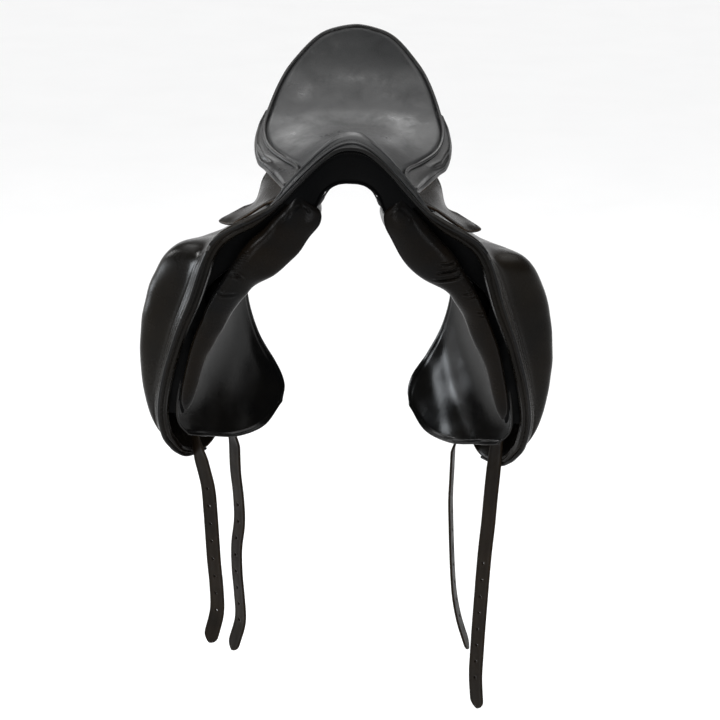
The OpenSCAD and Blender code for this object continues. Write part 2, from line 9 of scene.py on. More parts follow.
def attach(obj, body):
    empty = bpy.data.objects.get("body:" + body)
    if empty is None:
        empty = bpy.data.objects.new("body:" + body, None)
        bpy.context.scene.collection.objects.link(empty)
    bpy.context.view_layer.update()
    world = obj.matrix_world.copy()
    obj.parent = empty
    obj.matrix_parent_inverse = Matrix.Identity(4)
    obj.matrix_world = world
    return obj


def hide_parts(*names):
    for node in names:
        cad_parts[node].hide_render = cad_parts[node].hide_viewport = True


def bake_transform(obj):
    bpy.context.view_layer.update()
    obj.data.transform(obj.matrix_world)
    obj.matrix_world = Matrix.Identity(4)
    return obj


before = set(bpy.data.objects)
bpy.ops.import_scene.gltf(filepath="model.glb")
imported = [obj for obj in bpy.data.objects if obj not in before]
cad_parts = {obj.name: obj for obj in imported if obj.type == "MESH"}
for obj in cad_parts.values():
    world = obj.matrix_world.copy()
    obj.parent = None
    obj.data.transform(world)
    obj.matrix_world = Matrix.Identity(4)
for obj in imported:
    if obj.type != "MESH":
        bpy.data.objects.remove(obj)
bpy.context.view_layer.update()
scene = bpy.context.scene

# Shapes are in millimetres, as in the part's source. The left side is drawn, and the right side mirrors it.
# Below, g is a grid of points whose rows run back and whose columns run down, and n holds its normals.
MM = 0.001
MIRROR = np.array([-1.0, 1, 1])
SIDES = ("left", "right")


# Curves and grids.

def curve(p, u):
    """Points on a smooth curve through p at each u from 0 to 1."""
    p = np.asarray(p, float)
    u = np.asarray(u, float)
    n = len(p) - 1
    k = np.clip(np.floor(u * n).astype(int), 0, n - 1)
    t = (u * n - k)[..., None]
    b, c = p[k], p[k + 1]
    a = np.where((k > 0)[..., None], p[np.maximum(k - 1, 0)], 2 * b - c)
    d = np.where((k < n - 1)[..., None], p[np.minimum(k + 2, n)], 2 * c - b)
    return 0.5 * (2 * b + (c - a) * t + (2 * a - 5 * b + 4 * c - d) * t ** 2
                  + (3 * b - a - 3 * c + d) * t ** 3)


def patch(net, u, v):
    """A grid of points on a net: u along its rows, v down them."""
    rows = np.stack([curve(r, u) for r in net])
    flat = curve(rows.reshape(len(net), -1), v)
    return flat.reshape(len(v), len(u), 3)


def steps(count):
    """Even steps from 0 to 1."""
    return np.linspace(0, 1, count)


def shares(rows, columns):
    """How far down and how far along each point of a grid is, from 0 to 1."""
    return np.meshgrid(steps(rows), steps(columns), indexing="ij")


def unit(a):
    return a / np.maximum(np.linalg.norm(a, axis=-1, keepdims=True), 1e-9)


def normals(g):
    """Outward normals of a grid."""
    du = np.gradient(g, axis=1)
    dv = np.gradient(g, axis=0)
    return unit(np.cross(dv, du))


def raised(g, n, height):
    """Points moved along their normals."""
    return g + n * height[..., None]


def lengths(path):
    """Distance along a list of points."""
    return np.concatenate([[0], np.cumsum(np.linalg.norm(np.diff(path, axis=0), axis=1))])


def at_length(d, s, values):
    """What a line's values, known at distances s along it, are at distances d."""
    return np.stack([np.interp(d, s, values[:, k]) for k in range(3)], -1)


def even(path, step):
    """The same line with points an even step apart."""
    s = lengths(path)
    count = max(int(round(s[-1] / step)), 2) + 1
    return at_length(np.linspace(0, s[-1], count), s, path)


def smoothed(path, rounds):
    """The same line with its corners eased."""
    path = path.copy()
    for _ in range(rounds):
        path[1:-1] = (path[:-2] + 2 * path[1:-1] + path[2:]) / 4
    return path


def mirrored(half):
    """A line from the centre outwards as one from right to left."""
    half = np.asarray(half, float)
    return np.concatenate([(half * MIRROR)[:0:-1], half])


def flipped(points, name):
    """Points of the left side as they are, or mirrored for what is named after the right side."""
    points = np.asarray(points, float)
    return points * MIRROR if name.startswith("right") else points


def bump(d, w):
    return np.exp(-(d / w) ** 2)


def smoothstep(a, b, x):
    t = np.clip((x - a) / (b - a), 0, 1)
    return t * t * (3 - 2 * t)


def waves(p, scale, seed, octaves):
    """Smooth, repeatable lumps between about -1 and 1 at points p in millimetres."""
    r = np.random.default_rng(seed)
    out = np.zeros(p.shape[:-1])
    for o in range(octaves):
        for _ in range(5):
            d = unit(r.normal(size=3)) * (2 * math.pi / scale) * 1.9 ** o * r.uniform(0.7, 1.3)
            out += np.sin(p @ d + r.uniform(0, 6.28)) / (5 * 1.7 ** o)
    return out * 1.2


def line_distance(p, line):
    """Distance of points p from a polyline, and the place along it from 0 to 1."""
    shape = p.shape[:-1]
    q = p.reshape(-1, 3)
    s = lengths(line)
    best = np.full(len(q), 1e9)
    place = np.zeros(len(q))
    for k in range(len(line) - 1):
        a, b = line[k], line[k + 1]
        ab = b - a
        t = np.clip((q - a) @ ab / max(ab @ ab, 1e-9), 0, 1)
        d = np.linalg.norm(q - a - t[:, None] * ab, axis=1)
        m = d < best
        best[m] = d[m]
        place[m] = (s[k] + t[m] * (s[k + 1] - s[k])) / s[-1]
    return best.reshape(shape), place.reshape(shape)


def crease(g, n, line, depth, width, lip=0.5, fade=0.2):
    """Presses a line into points along their normals, with a raised lip on both sides."""
    d, t = line_distance(g, np.asarray(line, float))
    ends = smoothstep(0, fade, t) * smoothstep(0, fade, 1 - t)
    shape = -bump(d, width) + lip * bump(d - 2.1 * width, width)
    return raised(g, n, shape * depth * ends)


# Mesh makers. A shape is its points, its faces and, on leather sheets, how far each point is rubbed.

def make(name, shape, material, rub=1.0, nodes=(), body="saddle"):
    """A smooth closed mesh that rides on a body and stands for CAD nodes. Rub scales how worn it is."""
    points, faces, *wear = shape
    mesh = bpy.data.meshes.new(name)
    mesh.from_pydata((flipped(points, name) * MM).tolist(), [], [tuple(int(i) for i in f) for f in faces])
    bm = bmesh.new()
    bm.from_mesh(mesh)
    bmesh.ops.recalc_face_normals(bm, faces=bm.faces)
    bm.to_mesh(mesh)
    bm.free()
    mesh.polygons.foreach_set("use_smooth", [True] * len(mesh.polygons))
    if wear and rub:
        attribute = mesh.attributes.new("wear", "FLOAT", "POINT")
        attribute.data.foreach_set("value", np.asarray(wear[0] * rub, np.float32))
    piece = bpy.data.objects.new(name, mesh)
    scene.collection.objects.link(piece)
    piece.data.materials.append(material)
    if body:
        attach(piece, body)
    if nodes:
        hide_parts(*nodes)
    return piece


def quads(columns, rows, base=0, wrap=False):
    """Faces of a grid, or of rings where its columns wrap round."""
    j, i = np.meshgrid(np.arange(rows - 1), np.arange(columns if wrap else columns - 1), indexing="ij")
    k = (i + 1) % columns
    corners = [j * columns + i, (j + 1) * columns + i, (j + 1) * columns + k, j * columns + k]
    return np.stack(corners, -1).reshape(-1, 4) + base


def closed_faces(rings, sides):
    """Faces of rings of points with a lid on each end."""
    faces = [tuple(f) for f in quads(sides, rings, wrap=True)]
    return faces + [tuple(range(sides)), tuple(range((rings - 1) * sides, rings * sides))[::-1]]


def closed_shape(g):
    """The shape of a grid whose rows are rings."""
    return g.reshape(-1, 3), closed_faces(*g.shape[:2])


def slab(outer, inner, roundness=0.36):
    """A sheet of leather between two grids, with a rounded edge that is rubbed most."""
    nv, nu = outer.shape[:2]
    top = [(0, i) for i in range(nu)]
    right = [(j, nu - 1) for j in range(1, nv)]
    bottom = [(nv - 1, i) for i in range(nu - 2, -1, -1)]
    left = [(j, 0) for j in range(nv - 2, 0, -1)]
    loop = np.array(top + right + bottom + left)
    a, b = outer[loop[:, 0], loop[:, 1]], inner[loop[:, 0], loop[:, 1]]
    along = unit(np.roll(a, -1, 0) - np.roll(a, 1, 0))
    up = a - b
    out = unit(np.cross(up, along))
    size = np.linalg.norm(up, axis=1, keepdims=True)
    side = out * size * roundness
    rim = [(a + b) / 2 + up / 2 * math.sin(f) + side * math.cos(f) for f in (0.8, 0, -0.8)]
    q = nv * nu
    m = len(loop)
    ids = loop[:, 0] * nu + loop[:, 1]
    rings = [ids] + [2 * q + k * m + np.arange(m) for k in range(3)] + [q + ids]
    strips = []
    for r0, r1 in zip(rings, rings[1:]):
        strips.append(np.stack([r0, np.roll(r0, -1), np.roll(r1, -1), r1], 1))
    faces = np.concatenate([quads(nu, nv), quads(nu, nv, q)[:, ::-1]] + strips)
    points = np.concatenate([outer.reshape(-1, 3), inner.reshape(-1, 3)] + rim)
    jj, ii = np.meshgrid(np.arange(nv), np.arange(nu), indexing="ij")
    near = np.minimum(np.minimum(ii, nu - 1 - ii), np.minimum(jj, nv - 1 - jj)).reshape(-1)
    w = np.exp(-near / 1.2)
    wear = np.concatenate([w, w, np.full(m, 0.9), np.ones(m), np.full(m, 0.9)])
    return points, faces, wear


def sheet(node_name, g, n, thick, material, rub=1.0):
    """Leather of even thickness that stands for the node it is named after."""
    make(node_name + "_leather", slab(g, g - n * thick), material, rub, [node_name])


def frames(path):
    """Tangents and two turning-free side directions along a path."""
    t = unit(np.gradient(path, axis=0))
    x = np.zeros_like(path)
    first = np.cross(t[0], [0.2, 1, 0.1])
    x[0] = unit(first - t[0] * (first @ t[0]))
    for k in range(1, len(path)):
        x[k] = unit(x[k - 1] - t[k] * (x[k - 1] @ t[k]))
    return t, x, np.cross(t, x)


def tube(path, radius, sides=10, round_ends=True):
    """A round cord with domed ends."""
    r = np.broadcast_to(np.asarray(radius, float), (len(path),)).copy()
    t, x, y = frames(path)
    if round_ends:
        reach = np.array([[0.8], [0.5]])
        size = np.array([0.35, 0.85])
        path = np.concatenate([path[0] - t[0] * r[0] * reach, path, path[-1] + t[-1] * r[-1] * reach[::-1]])
        x, y = [np.concatenate([a[:1], a[:1], a, a[-1:], a[-1:]]) for a in (x, y)]
        r = np.concatenate([r[0] * size, r, r[-1] * size[::-1]])
    a = np.linspace(0, 2 * math.pi, sides, endpoint=False)[None, :, None]
    rings = path[:, None] + r[:, None, None] * (np.cos(a) * x[:, None] + np.sin(a) * y[:, None])
    return closed_shape(rings)


def merged(parts):
    """Several shapes as one."""
    points, faces, base = [], [], 0
    for p, f in parts:
        points.append(p)
        faces += [tuple(int(i) + base for i in q) for q in f]
        base += len(p)
    return np.concatenate(points), faces


# A stitch: its length, half width, how deep it sits and how far it slants, then its rings from end to end,
# each with its place along the stitch, its width and its height.
STITCH_LENGTH, STITCH_RADIUS, STITCH_SINK, STITCH_SLANT = 2.4, 0.42, 0.1, 0.18
STITCH_RINGS = [(-0.5, 0.25, -0.2), (-0.3, 0.9, 0.75), (0.3, 0.9, 0.75), (0.5, 0.25, -0.2)]
STITCH_SIDES = 5


def stitches(path, up, pitch=3.6):
    """Thread sewn along a line on a surface whose normals are up."""
    s = lengths(path)
    count = max(int(s[-1] / pitch), 2)
    at = (np.arange(count) + 0.5) * s[-1] / count
    p = at_length(at, s, path)
    n = unit(at_length(at, s, up))
    t = unit(at_length(at + 0.5, s, path) - at_length(at - 0.5, s, path))
    t = unit(t + np.cross(n, t) * STITCH_SLANT)
    side = np.cross(n, t)
    turn = np.linspace(0, math.pi, STITCH_SIDES)[:, None]
    arch = STITCH_RADIUS * (side[:, None] * np.cos(turn) + n[:, None] * np.sin(turn))
    rings = []
    for along, wide, high in STITCH_RINGS:
        middle = p + t * along * STITCH_LENGTH + n * (high * STITCH_RADIUS - STITCH_SINK)
        rings.append(middle[:, None] + arch * wide)
    points = np.stack(rings, 1).reshape(count, -1, 3)
    faces = closed_faces(len(STITCH_RINGS), STITCH_SIDES)
    return merged([(p, faces) for p in points])


def inset(g, n, side, gap):
    """The line that runs a gap inside one edge of a grid, and the normals along it."""
    if side == "bottom":
        g, n = g.transpose(1, 0, 2), n.transpose(1, 0, 2)
    if side in ("back", "bottom"):
        g, n = g[:, ::-1], n[:, ::-1]
    line = [at_length(gap, lengths(row), row) for row in g]
    up = [at_length(gap, lengths(row), normal) for row, normal in zip(g, n)]
    return np.array(line), np.array(up)


def edge_thread(g, n, runs):
    """Stitches along edges of a grid: each run is an edge, its gap, and where it starts and stops."""
    parts = []
    for side, gap, start, stop in runs:
        line, up = inset(g, n, side, gap)
        a, b = int(start * (len(line) - 1)), int(stop * (len(line) - 1)) + 1
        parts.append(stitches(line[a:b], up[a:b]))
    return merged(parts)


def fold_blend(piece, body, fold, outward):
    """Works out a fold's line and the way out across it, which nothing then uses, and bakes the piece's
    placement into its mesh.
    """
    a, b = flipped(fold, body)
    along = unit(b - a)
    out = flipped(outward, body)
    out = unit(out - along * (out @ along))
    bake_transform(piece)


# Materials.

def feed(t, made, inputs):
    """Puts a plain value or another node's output on each named input of a node."""
    for key, value in inputs.items():
        if isinstance(value, bpy.types.NodeSocket):
            t.links.new(value, made.inputs[key])
        else:
            made.inputs[key].default_value = value


def node(t, kind, inputs, **settings):
    """A shader node with its settings and inputs."""
    made = t.nodes.new("ShaderNode" + kind)
    for key, value in settings.items():
        setattr(made, key, value)
    feed(t, made, inputs)
    return made


def start_material(name):
    """A new material: itself, its tree, its shader and the place on the object."""
    mat = bpy.data.materials.new(name)
    mat.use_nodes = True
    t = mat.node_tree
    t.nodes.clear()
    shader = node(t, "BsdfPrincipled", {})
    node(t, "OutputMaterial", {0: shader.outputs[0]})
    return mat, t, shader, node(t, "TexCoord", {}).outputs["Object"]


def noise(t, coord, scale, detail=4.0, rough=0.55):
    values = {"Vector": coord, "Scale": scale, "Detail": detail, "Roughness": rough}
    return node(t, "TexNoise", values).outputs["Fac"]


def grey(x):
    return (x, x, x)


def ramp(t, fac, low, high):
    """Runs from one colour to another between two places, each given as (place, colour)."""
    made = node(t, "ValToRGB", {0: fac})
    for stop, (place, colour) in zip(made.color_ramp.elements, (low, high)):
        stop.position = place
        stop.color = (*colour, 1)
    return made.outputs[0]


def math_node(t, op, a, b):
    return node(t, "Math", {0: a, 1: b}, operation=op).outputs[0]


def mixed(t, a, share_a, b, share_b):
    """The sum of two values, each times its share."""
    return math_node(t, "ADD", math_node(t, "MULTIPLY", a, share_a), math_node(t, "MULTIPLY", b, share_b))


def colour_mix(t, fac, a, b):
    return node(t, "Mix", {0: fac, 6: a, 7: b}, data_type="RGBA").outputs[2]


def bumped(t, height, strength, distance):
    """The normal of a surface that rises and falls with a height."""
    return node(t, "Bump", {"Strength": strength, "Distance": distance, "Height": height}).outputs[0]


# Scales of the patterns that all leathers share, and how far the grain is warped, in metres.
RUB_SCALE, SCUFF_SCALE, LUMP_SCALE, CRACK_SCALE = 70, 160, 48, 85
GRAIN_WARP = 0.0012


def leather(name, dark, light, worn, rough, grain, depth, smear, spec, coat=0.0, crack=0.0, blotch=0.11):
    """Grained leather: colour drift, rubbed edges, smeared polish and pebbled grain."""
    mat, t, shader, coord = start_material(name)
    colour = ramp(t, noise(t, coord, smear, 5, 0.6), (0.36, dark), (0.66, light))
    wear = node(t, "Attribute", {}, attribute_name="wear").outputs["Fac"]
    rub = math_node(t, "MULTIPLY", wear, noise(t, coord, RUB_SCALE, 5, 0.7))
    rub = ramp(t, rub, (0.34, grey(0)), (0.8, grey(0.85)))
    colour = colour_mix(t, rub, colour, (*worn, 1))
    smears, scuffs = noise(t, coord, smear * 2.3, 6, 0.62), noise(t, coord, SCUFF_SCALE, 3, 0.6)
    polish = mixed(t, smears, 0.8, scuffs, 0.2)
    polish = ramp(t, polish, (0.3, grey(max(rough - blotch, 0.05))), (0.7, grey(rough + blotch)))
    warp = node(t, "TexNoise", {"Vector": coord, "Scale": grain * 0.35}).outputs["Color"]
    warped = node(t, "VectorMath", {0: warp, 1: grey(GRAIN_WARP), 2: coord}, operation="MULTIPLY_ADD")
    warped = warped.outputs[0]
    pebble = node(t, "TexVoronoi", {"Vector": warped, "Scale": grain}).outputs["Distance"]
    pebble = ramp(t, pebble, (0.0, grey(1)), (0.75, grey(0)))
    height = mixed(t, pebble, 0.6, noise(t, coord, LUMP_SCALE, 6, 0.65), 0.7)
    if crack:
        cells = node(t, "TexVoronoi", {"Vector": warped, "Scale": CRACK_SCALE}, feature="DISTANCE_TO_EDGE")
        lines = ramp(t, cells.outputs["Distance"], (0.0, grey(0)), (0.09, grey(1)))
        height = mixed(t, height, 1.0, lines, crack)
    normal = bumped(t, height, 0.8, depth)
    feed(t, shader, {"Base Color": colour, "Roughness": polish, "Normal": normal})
    feed(t, shader, {"Specular IOR Level": spec})
    if coat:
        feed(t, shader, {"Coat Weight": coat, "Coat Roughness": 0.22})
    return mat


def simple(name, low, high, rough, scale, metal=0.0, depth=0.0001, stretch=None, spec=0.5):
    """Wood, metal, thread or foam: two colours drifting along a noise, and a fine bump."""
    mat, t, shader, coord = start_material(name)
    if stretch:
        coord = node(t, "Mapping", {0: coord, "Scale": stretch}).outputs[0]
    colour = ramp(t, noise(t, coord, scale, 6, 0.62), (0.35, low), (0.68, high))
    polish = noise(t, coord, scale * 3)
    polish = ramp(t, polish, (0.3, grey(max(rough - 0.1, 0.03))), (0.7, grey(rough + 0.1)))
    normal = bumped(t, noise(t, coord, scale * 5), 0.7, depth)
    feed(t, shader, {"Base Color": colour, "Roughness": polish, "Normal": normal})
    feed(t, shader, {"Metallic": metal, "Specular IOR Level": spec})
    return mat


def cloth(name, low, high, scale):
    """Close woven cloth: two crossed sets of threads."""
    mat, t, shader, coord = start_material(name)
    values = {"Vector": coord, "Scale": scale, "Distortion": 1.2, "Detail": 2}
    across, along = [node(t, "TexWave", values, bands_direction=axis).outputs["Fac"] for axis in "XY"]
    weave = math_node(t, "MULTIPLY", across, along)
    colour = ramp(t, mixed(t, weave, 0.6, noise(t, coord, 30), 0.5), (0.2, low), (0.75, high))
    feed(t, shader, {"Base Color": colour, "Roughness": 0.85, "Normal": bumped(t, weave, 0.8, 0.0002)})
    return mat


# Each leather's colours are where it is dark, where it is light and where it is worn.
M_seat = leather(
    "seat_leather", (0.013, 0.0135, 0.014), (0.021, 0.0215, 0.0215), (0.04, 0.04, 0.04),
    rough=0.42, grain=560, depth=0.00013, smear=9, spec=0.5, blotch=0.2)
M_flap = leather(
    "flap_leather", (0.006, 0.0052, 0.0042), (0.0135, 0.0102, 0.0066), (0.075, 0.043, 0.02),
    rough=0.27, grain=560, depth=0.00013, smear=7, spec=0.08)
M_side = leather(
    "side_leather", (0.009, 0.009, 0.0092), (0.016, 0.0152, 0.0142), (0.04, 0.038, 0.035),
    rough=0.31, grain=560, depth=0.00014, smear=10, spec=0.3, coat=0.1)
M_panel = leather(
    "panel_leather", (0.004, 0.0041, 0.0042), (0.0105, 0.007, 0.004), (0.05, 0.03, 0.014),
    rough=0.25, grain=520, depth=0.00014, smear=8, spec=0.07, crack=0.12)
M_sweat = leather(
    "sweat_leather", (0.006, 0.0063, 0.0067), (0.0115, 0.0105, 0.0092), (0.026, 0.022, 0.017),
    rough=0.2, grain=520, depth=0.0001, smear=8, spec=0.16)
M_welt = leather(
    "welt_leather", (0.007, 0.007, 0.0073), (0.013, 0.0122, 0.011), (0.032, 0.028, 0.023),
    rough=0.3, grain=700, depth=0.0001, smear=14, spec=0.12)
M_billet = leather(
    "billet_leather", (0.0085, 0.006, 0.0037), (0.02, 0.0138, 0.0085), (0.042, 0.029, 0.017),
    rough=0.45, grain=520, depth=0.00016, smear=14, spec=0.07)
# The facing leather is darker than the other black leathers as painted shade: it is used where shade falls,
# on the pommel facing and its edge turned into the gullet, the point pockets, the gussets and the knee
# blocks.
M_shade_darkened = leather(
    "shade_darkened_leather", (0.002, 0.0022, 0.0024), (0.0042, 0.0043, 0.0044),
    (0.012, 0.011, 0.01), rough=0.45, grain=560, depth=0.00014, smear=10, spec=0.03)
M_thread = simple(
    "waxed_thread", (0.006, 0.006, 0.0062), (0.014, 0.013, 0.012), rough=0.5, scale=900,
    depth=0.00005, spec=0.1)
M_lining = cloth("lining_cloth", (0.008, 0.008, 0.008), (0.022, 0.022, 0.023), scale=420)
M_canvas = cloth("web_canvas", (0.42, 0.38, 0.3), (0.66, 0.61, 0.5), scale=300)
M_wood = simple(
    "tree_wood", (0.36, 0.22, 0.11), (0.6, 0.42, 0.24), rough=0.5, scale=14, depth=0.0002,
    stretch=(6, 0.7, 6))
M_steel = simple(
    "bar_steel", (0.38, 0.385, 0.39), (0.58, 0.585, 0.6), rough=0.32, scale=60, metal=1.0,
    depth=0.00005)
M_foam = simple("seat_foam", (0.5, 0.45, 0.32), (0.66, 0.6, 0.44), rough=0.9, scale=200, depth=0.0003)


# Seat.

# A station is its y, half width, height of the rim, height of the middle and roundness of the middle.
seat_stations = [
    [-226, 100, 7, 89, 0.41], [-218, 96, 18, 99, 0.46], [-208, 91, 27, 104, 0.53],
    [-190, 87, 26, 104, 0.6], [-150, 81, 20, 92, 0.6], [-105, 78, 18, 74, 0.6], [-60, 81, 18, 58, 0.8],
    [-10, 100, 15, 48.5, 1.2], [40, 127, 22, 47, 2.5], [85, 137, 39, 52, 4], [128, 130, 62, 66, 4],
    [162, 115, 96, 88, 4], [190, 95, 125, 113, 4], [215, 55, 163, 150, 3], [227, 8, 177, 175, 3]]
LAST = len(seat_stations) - 1
SEAT_THICK, FOAM_DEPTH, FOAM_THICK = 3.6, 6.5, 9.3
PIPING, RIM_CORD = 3.1, 2.3
# A scratch on the seat: station, and place across from -1 to 1.
SCRATCH = ((10.3, 0.02), (10.8, 0.07), (11.3, 0.13))


def station(q):
    """The seat's measures at station numbers q."""
    return curve(seat_stations, np.asarray(q, float) / LAST)


def fall(s, a):
    """How far the seat has fallen between its middle (0) and its rim (1)."""
    return (np.sqrt(a * a + s * s) - a) / (np.sqrt(a * a + 1) - a)


def seat_surface(q, s):
    """The seat at stations q and at places s across it, from -1 to 1."""
    r = station(q)[:, None, :]
    s = np.asarray(s, float)[None, :]
    z = r[..., 2] + (r[..., 3] - r[..., 2]) * (1 - fall(s, r[..., 4]))
    return np.stack([s * r[..., 1], np.broadcast_to(r[..., 0], z.shape), z], -1)


def seat_line(q, s):
    """A line across the seat at one station, and the seat's normals along it."""
    strip = seat_surface(np.array([q - 0.05, q, q + 0.05]), s)
    return strip[1], -normals(strip)[1]


def rim(q, out, down):
    """The left rim at stations q, moved outwards and down."""
    q = np.asarray(q, float)
    a, b, r = station(np.maximum(q - 0.05, 0)), station(np.minimum(q + 0.05, LAST)), station(q)
    n = unit(np.stack([b[:, 0] - a[:, 0], a[:, 1] - b[:, 1]], 1))
    return np.stack([r[:, 1] + n[:, 0] * out, r[:, 0] + n[:, 1] * out, r[:, 2] - down], 1)


def rim_loop(out, down, start, end, crown):
    """The rim as one line from the left front over the cantle's crown to the right front."""
    half = rim(np.linspace(start, end, 220), out, down)
    return np.concatenate([half, [crown], (half * MIRROR)[::-1]])


def seat():
    """The seat's leather: its rim rolls down to the piping, and use has left soft dents and a scratch."""
    q = np.linspace(0, LAST, 200)
    t = np.linspace(-1, 1, 125)
    g = seat_surface(q, 0.45 * np.sin(t * math.pi / 2) + 0.55 * t)
    n = -normals(g)
    edge, _ = line_distance(g, rim_loop(0, 0, 0, LAST, [0, 227.5, 177]))
    dents = 0.9 * waves(g, 105, 3, 2) * smoothstep(6, 45, edge)
    roll = 2.4 * smoothstep(2.2, 4.2, q)[:, None] * (1 - smoothstep(0, 9, edge)) ** 1.5
    g = raised(g, n, dents - roll)
    scratch = [seat_surface(np.array([k]), [s])[0, 0] for k, s in SCRATCH]
    g = crease(g, n, scratch, 0.3, 1.0, 0.2)
    make("seat_cover_leather", slab(g, g - [0, 0, SEAT_THICK]), M_seat,
         nodes=["seat_cover"])


def foam():
    """The pad under the seat's leather."""
    top = seat_surface(np.linspace(1.5, LAST - 0.5, 90), np.linspace(-0.93, 0.93, 60)) - [0, 0, FOAM_DEPTH]
    piece = make("seat_foam_pad", slab(top, top - [0, 0, FOAM_THICK], 0.3), M_foam,
                 rub=0, nodes=["seat_foam"])


def seat_piping():
    """The piping round the rim, and under it on each side two thinner cords that run into the pommel."""
    path = smoothed(even(rim_loop(2.6, 0.6, 2.2, 13.8, [0, 230.5, 176]), 2.5), 14)
    make("seat_piping", tube(path, PIPING, 12), M_side, nodes=["seat_welt"])
    parts = []
    for out, down, back in ((5.2, 6.5, 9.2), (6.8, 13, 8.2)):
        line = smoothed(even(rim(np.linspace(2.0, back, 150), out, down), 2.5), 6)
        thick = RIM_CORD * (1 - 0.75 * smoothstep(0.7, 1, steps(len(line))))
        parts += [tube(flipped(line, side), thick) for side in SIDES]
    make("seat_rim_cords", merged(parts), M_side)


# Pommel: the facing over the arch, its welt, and the leather that closes its sides.

facing_outer = [
    [0, -229, 86], [20, -229, 82], [39, -229, 69.5], [59, -229, 50.5], [80, -229, 27], [97, -229, 8]]
facing_inner = [
    [0, -221, 36], [15, -221, 35], [28, -221, 29], [38, -221, 19], [45, -221, 3], [50, -221, -10]]
pommel_line = [
    [0, -230.8, 88.5], [19, -230.8, 85], [38, -230.8, 72], [58, -230.8, 53], [81, -231, 27],
    [102, -232, 5], [127, -233, -13], [160, -233, -30], [183, -231.5, -44], [196, -231, -57]]
pocket_net = [
    [[88, -224, 14], [118, -219, -12], [142, -217, -28], [170, -214, -45], [199, -209, -66],
     [216, -202, -120], [240, -188, -196], [261, -168, -276], [268, -139, -352]],
    [[88, -223, 4], [117, -217, -22], [138, -214, -40], [168, -211, -64], [203, -204, -94],
     [213, -199, -142], [231, -187, -204], [249, -170, -278], [258, -138, -352]],
    [[88, -221, -8], [113, -214, -34], [132, -211, -53], [160, -207, -88], [204, -196, -134],
     [206, -191, -172], [216, -182, -216], [230, -170, -280], [244, -139, -352]]]
FACING_THICK, TURNED_THICK, POCKET_THICK = 3.2, 2.2, 2.5
POMMEL_WELT = 2.9


def facing():
    """The padded leather over the tree's front arch, its edge turned into the gullet, and its thread."""
    rows, columns = 26, 150
    u = steps(columns)
    inner, outer = curve(mirrored(facing_inner), u), curve(mirrored(facing_outer), u)
    t = steps(rows)[:, None]
    g = inner + (outer - inner) * t[..., None]
    arch = np.sin(math.pi * t)
    g[..., 1] -= 4.6 * arch ** 0.8 + 0.6 * waves(g, 45, 5, 2) * arch
    n = normals(g) * -np.sign(normals(g)[rows // 2, columns // 2, 1])
    seams = bump(t - 0.88, 0.03) + 0.8 * bump(t - 0.1, 0.03)
    g = raised(g, n, -seams)
    sheet("pommel_facing", g, n, FACING_THICK, M_shade_darkened, rub=0.5)
    back = inner * [0.93, 1, 1] + [0, 30, -3]
    turn = inner + (back - inner) * np.linspace(-0.1, 1, 12)[:, None, None]
    make("pommel_facing_turned_edge", slab(turn, turn - normals(turn) * TURNED_THICK), M_shade_darkened,
         rub=0)
    sewn = rows - 3
    make("pommel_facing_thread", stitches(g[sewn, 8:-8], n[sewn, 8:-8], 3.4), M_thread)


def pommel_piping():
    """The welt over the arch and along the top of both flaps."""
    path = even(curve(mirrored(pommel_line), steps(240)), 3)
    make("pommel_piping", tube(path, POMMEL_WELT, 12), M_welt, nodes=["pommel_welt"])


def pocket(side):
    """The leather that closes the space between the flap's top and the stuffed front."""
    g = patch(pocket_net, steps(130), steps(24))
    n = normals(g)
    g = raised(g, n, 0.8 * waves(g, 40, 8, 2))
    # Its dark leather is painted shade: the sheet fills the shaded recess between the flap's top and the
    # stuffed front, down behind the sweat flap.
    sheet(side + "_point_pocket", g, n, POCKET_THICK, M_shade_darkened, 0.4)


# Cantle facing, channel lining and the webs under the seat.

cantle_q = np.array([9.95, 11, 12, 12.8, 13.4, 13.8])
cantle_low = np.array([
    [145, 124, 45], [128, 168, 36], [105, 199, 35], [76, 221, 38], [44, 232, 41], [18, 237, 42],
    [0, 238, 42]], float)
# A row of the lining is its y, half width, height of its sides and height of its middle.
lining_stations = [
    [-220, 45, 2, 35], [-190, 41, -2, 30], [-130, 38, -10, 16], [-60, 36, -14, 4], [0, 35, -14, 0],
    [60, 35, -10, 1], [120, 35, -2, 9], [180, 34, 12, 24], [222, 33, 22, 36]]
CANTLE_THICK, LINING_THICK, WEB_THICK = 3.8, 2.5, 1.4
# A web is its first and last station, half width, points along and across, depth under the seat and node.
WEBS = {
    "strainer_webbing": (3.7, 11.6, 24, 60, 12, 19.4, "strainer_web"),
    "front_girth_webbing": (5, 5.8, 74, 14, 48, 16.9, "front_girth_web"),
    "rear_girth_webbing": (6.5, 7.3, 74, 14, 48, 16.9, "rear_girth_web"),
}


def cantle():
    """The leather behind the cantle, from the rim down to the panels."""
    up = np.concatenate([rim(cantle_q, 3.4, 1.8), [[0, 231, 174]]])
    mid = (up + cantle_low) / 2 + np.outer(np.arange(7), [0, 1.5, 0])
    net = [np.concatenate([r, (r[:-1] * MIRROR)[::-1]]) for r in (up, mid, cantle_low)]
    g = patch(net, np.linspace(1, 0, 120), steps(34))
    sheet("cantle_facing", g, -normals(g), CANTLE_THICK, M_side)


def lining():
    """The cloth in the channel between the panels."""
    r = curve(lining_stations, steps(90))[:, None, :]
    s = np.linspace(-1, 1, 33)[None, :]
    z = r[..., 3] + (r[..., 2] - r[..., 3]) * np.abs(s) ** 3
    g = np.stack([s * r[..., 1], np.broadcast_to(r[..., 0], z.shape), z], -1)
    make("channel_lining_cloth", slab(g + [0, 0, LINING_THICK], g), M_lining, rub=0,
         nodes=["channel_lining"])


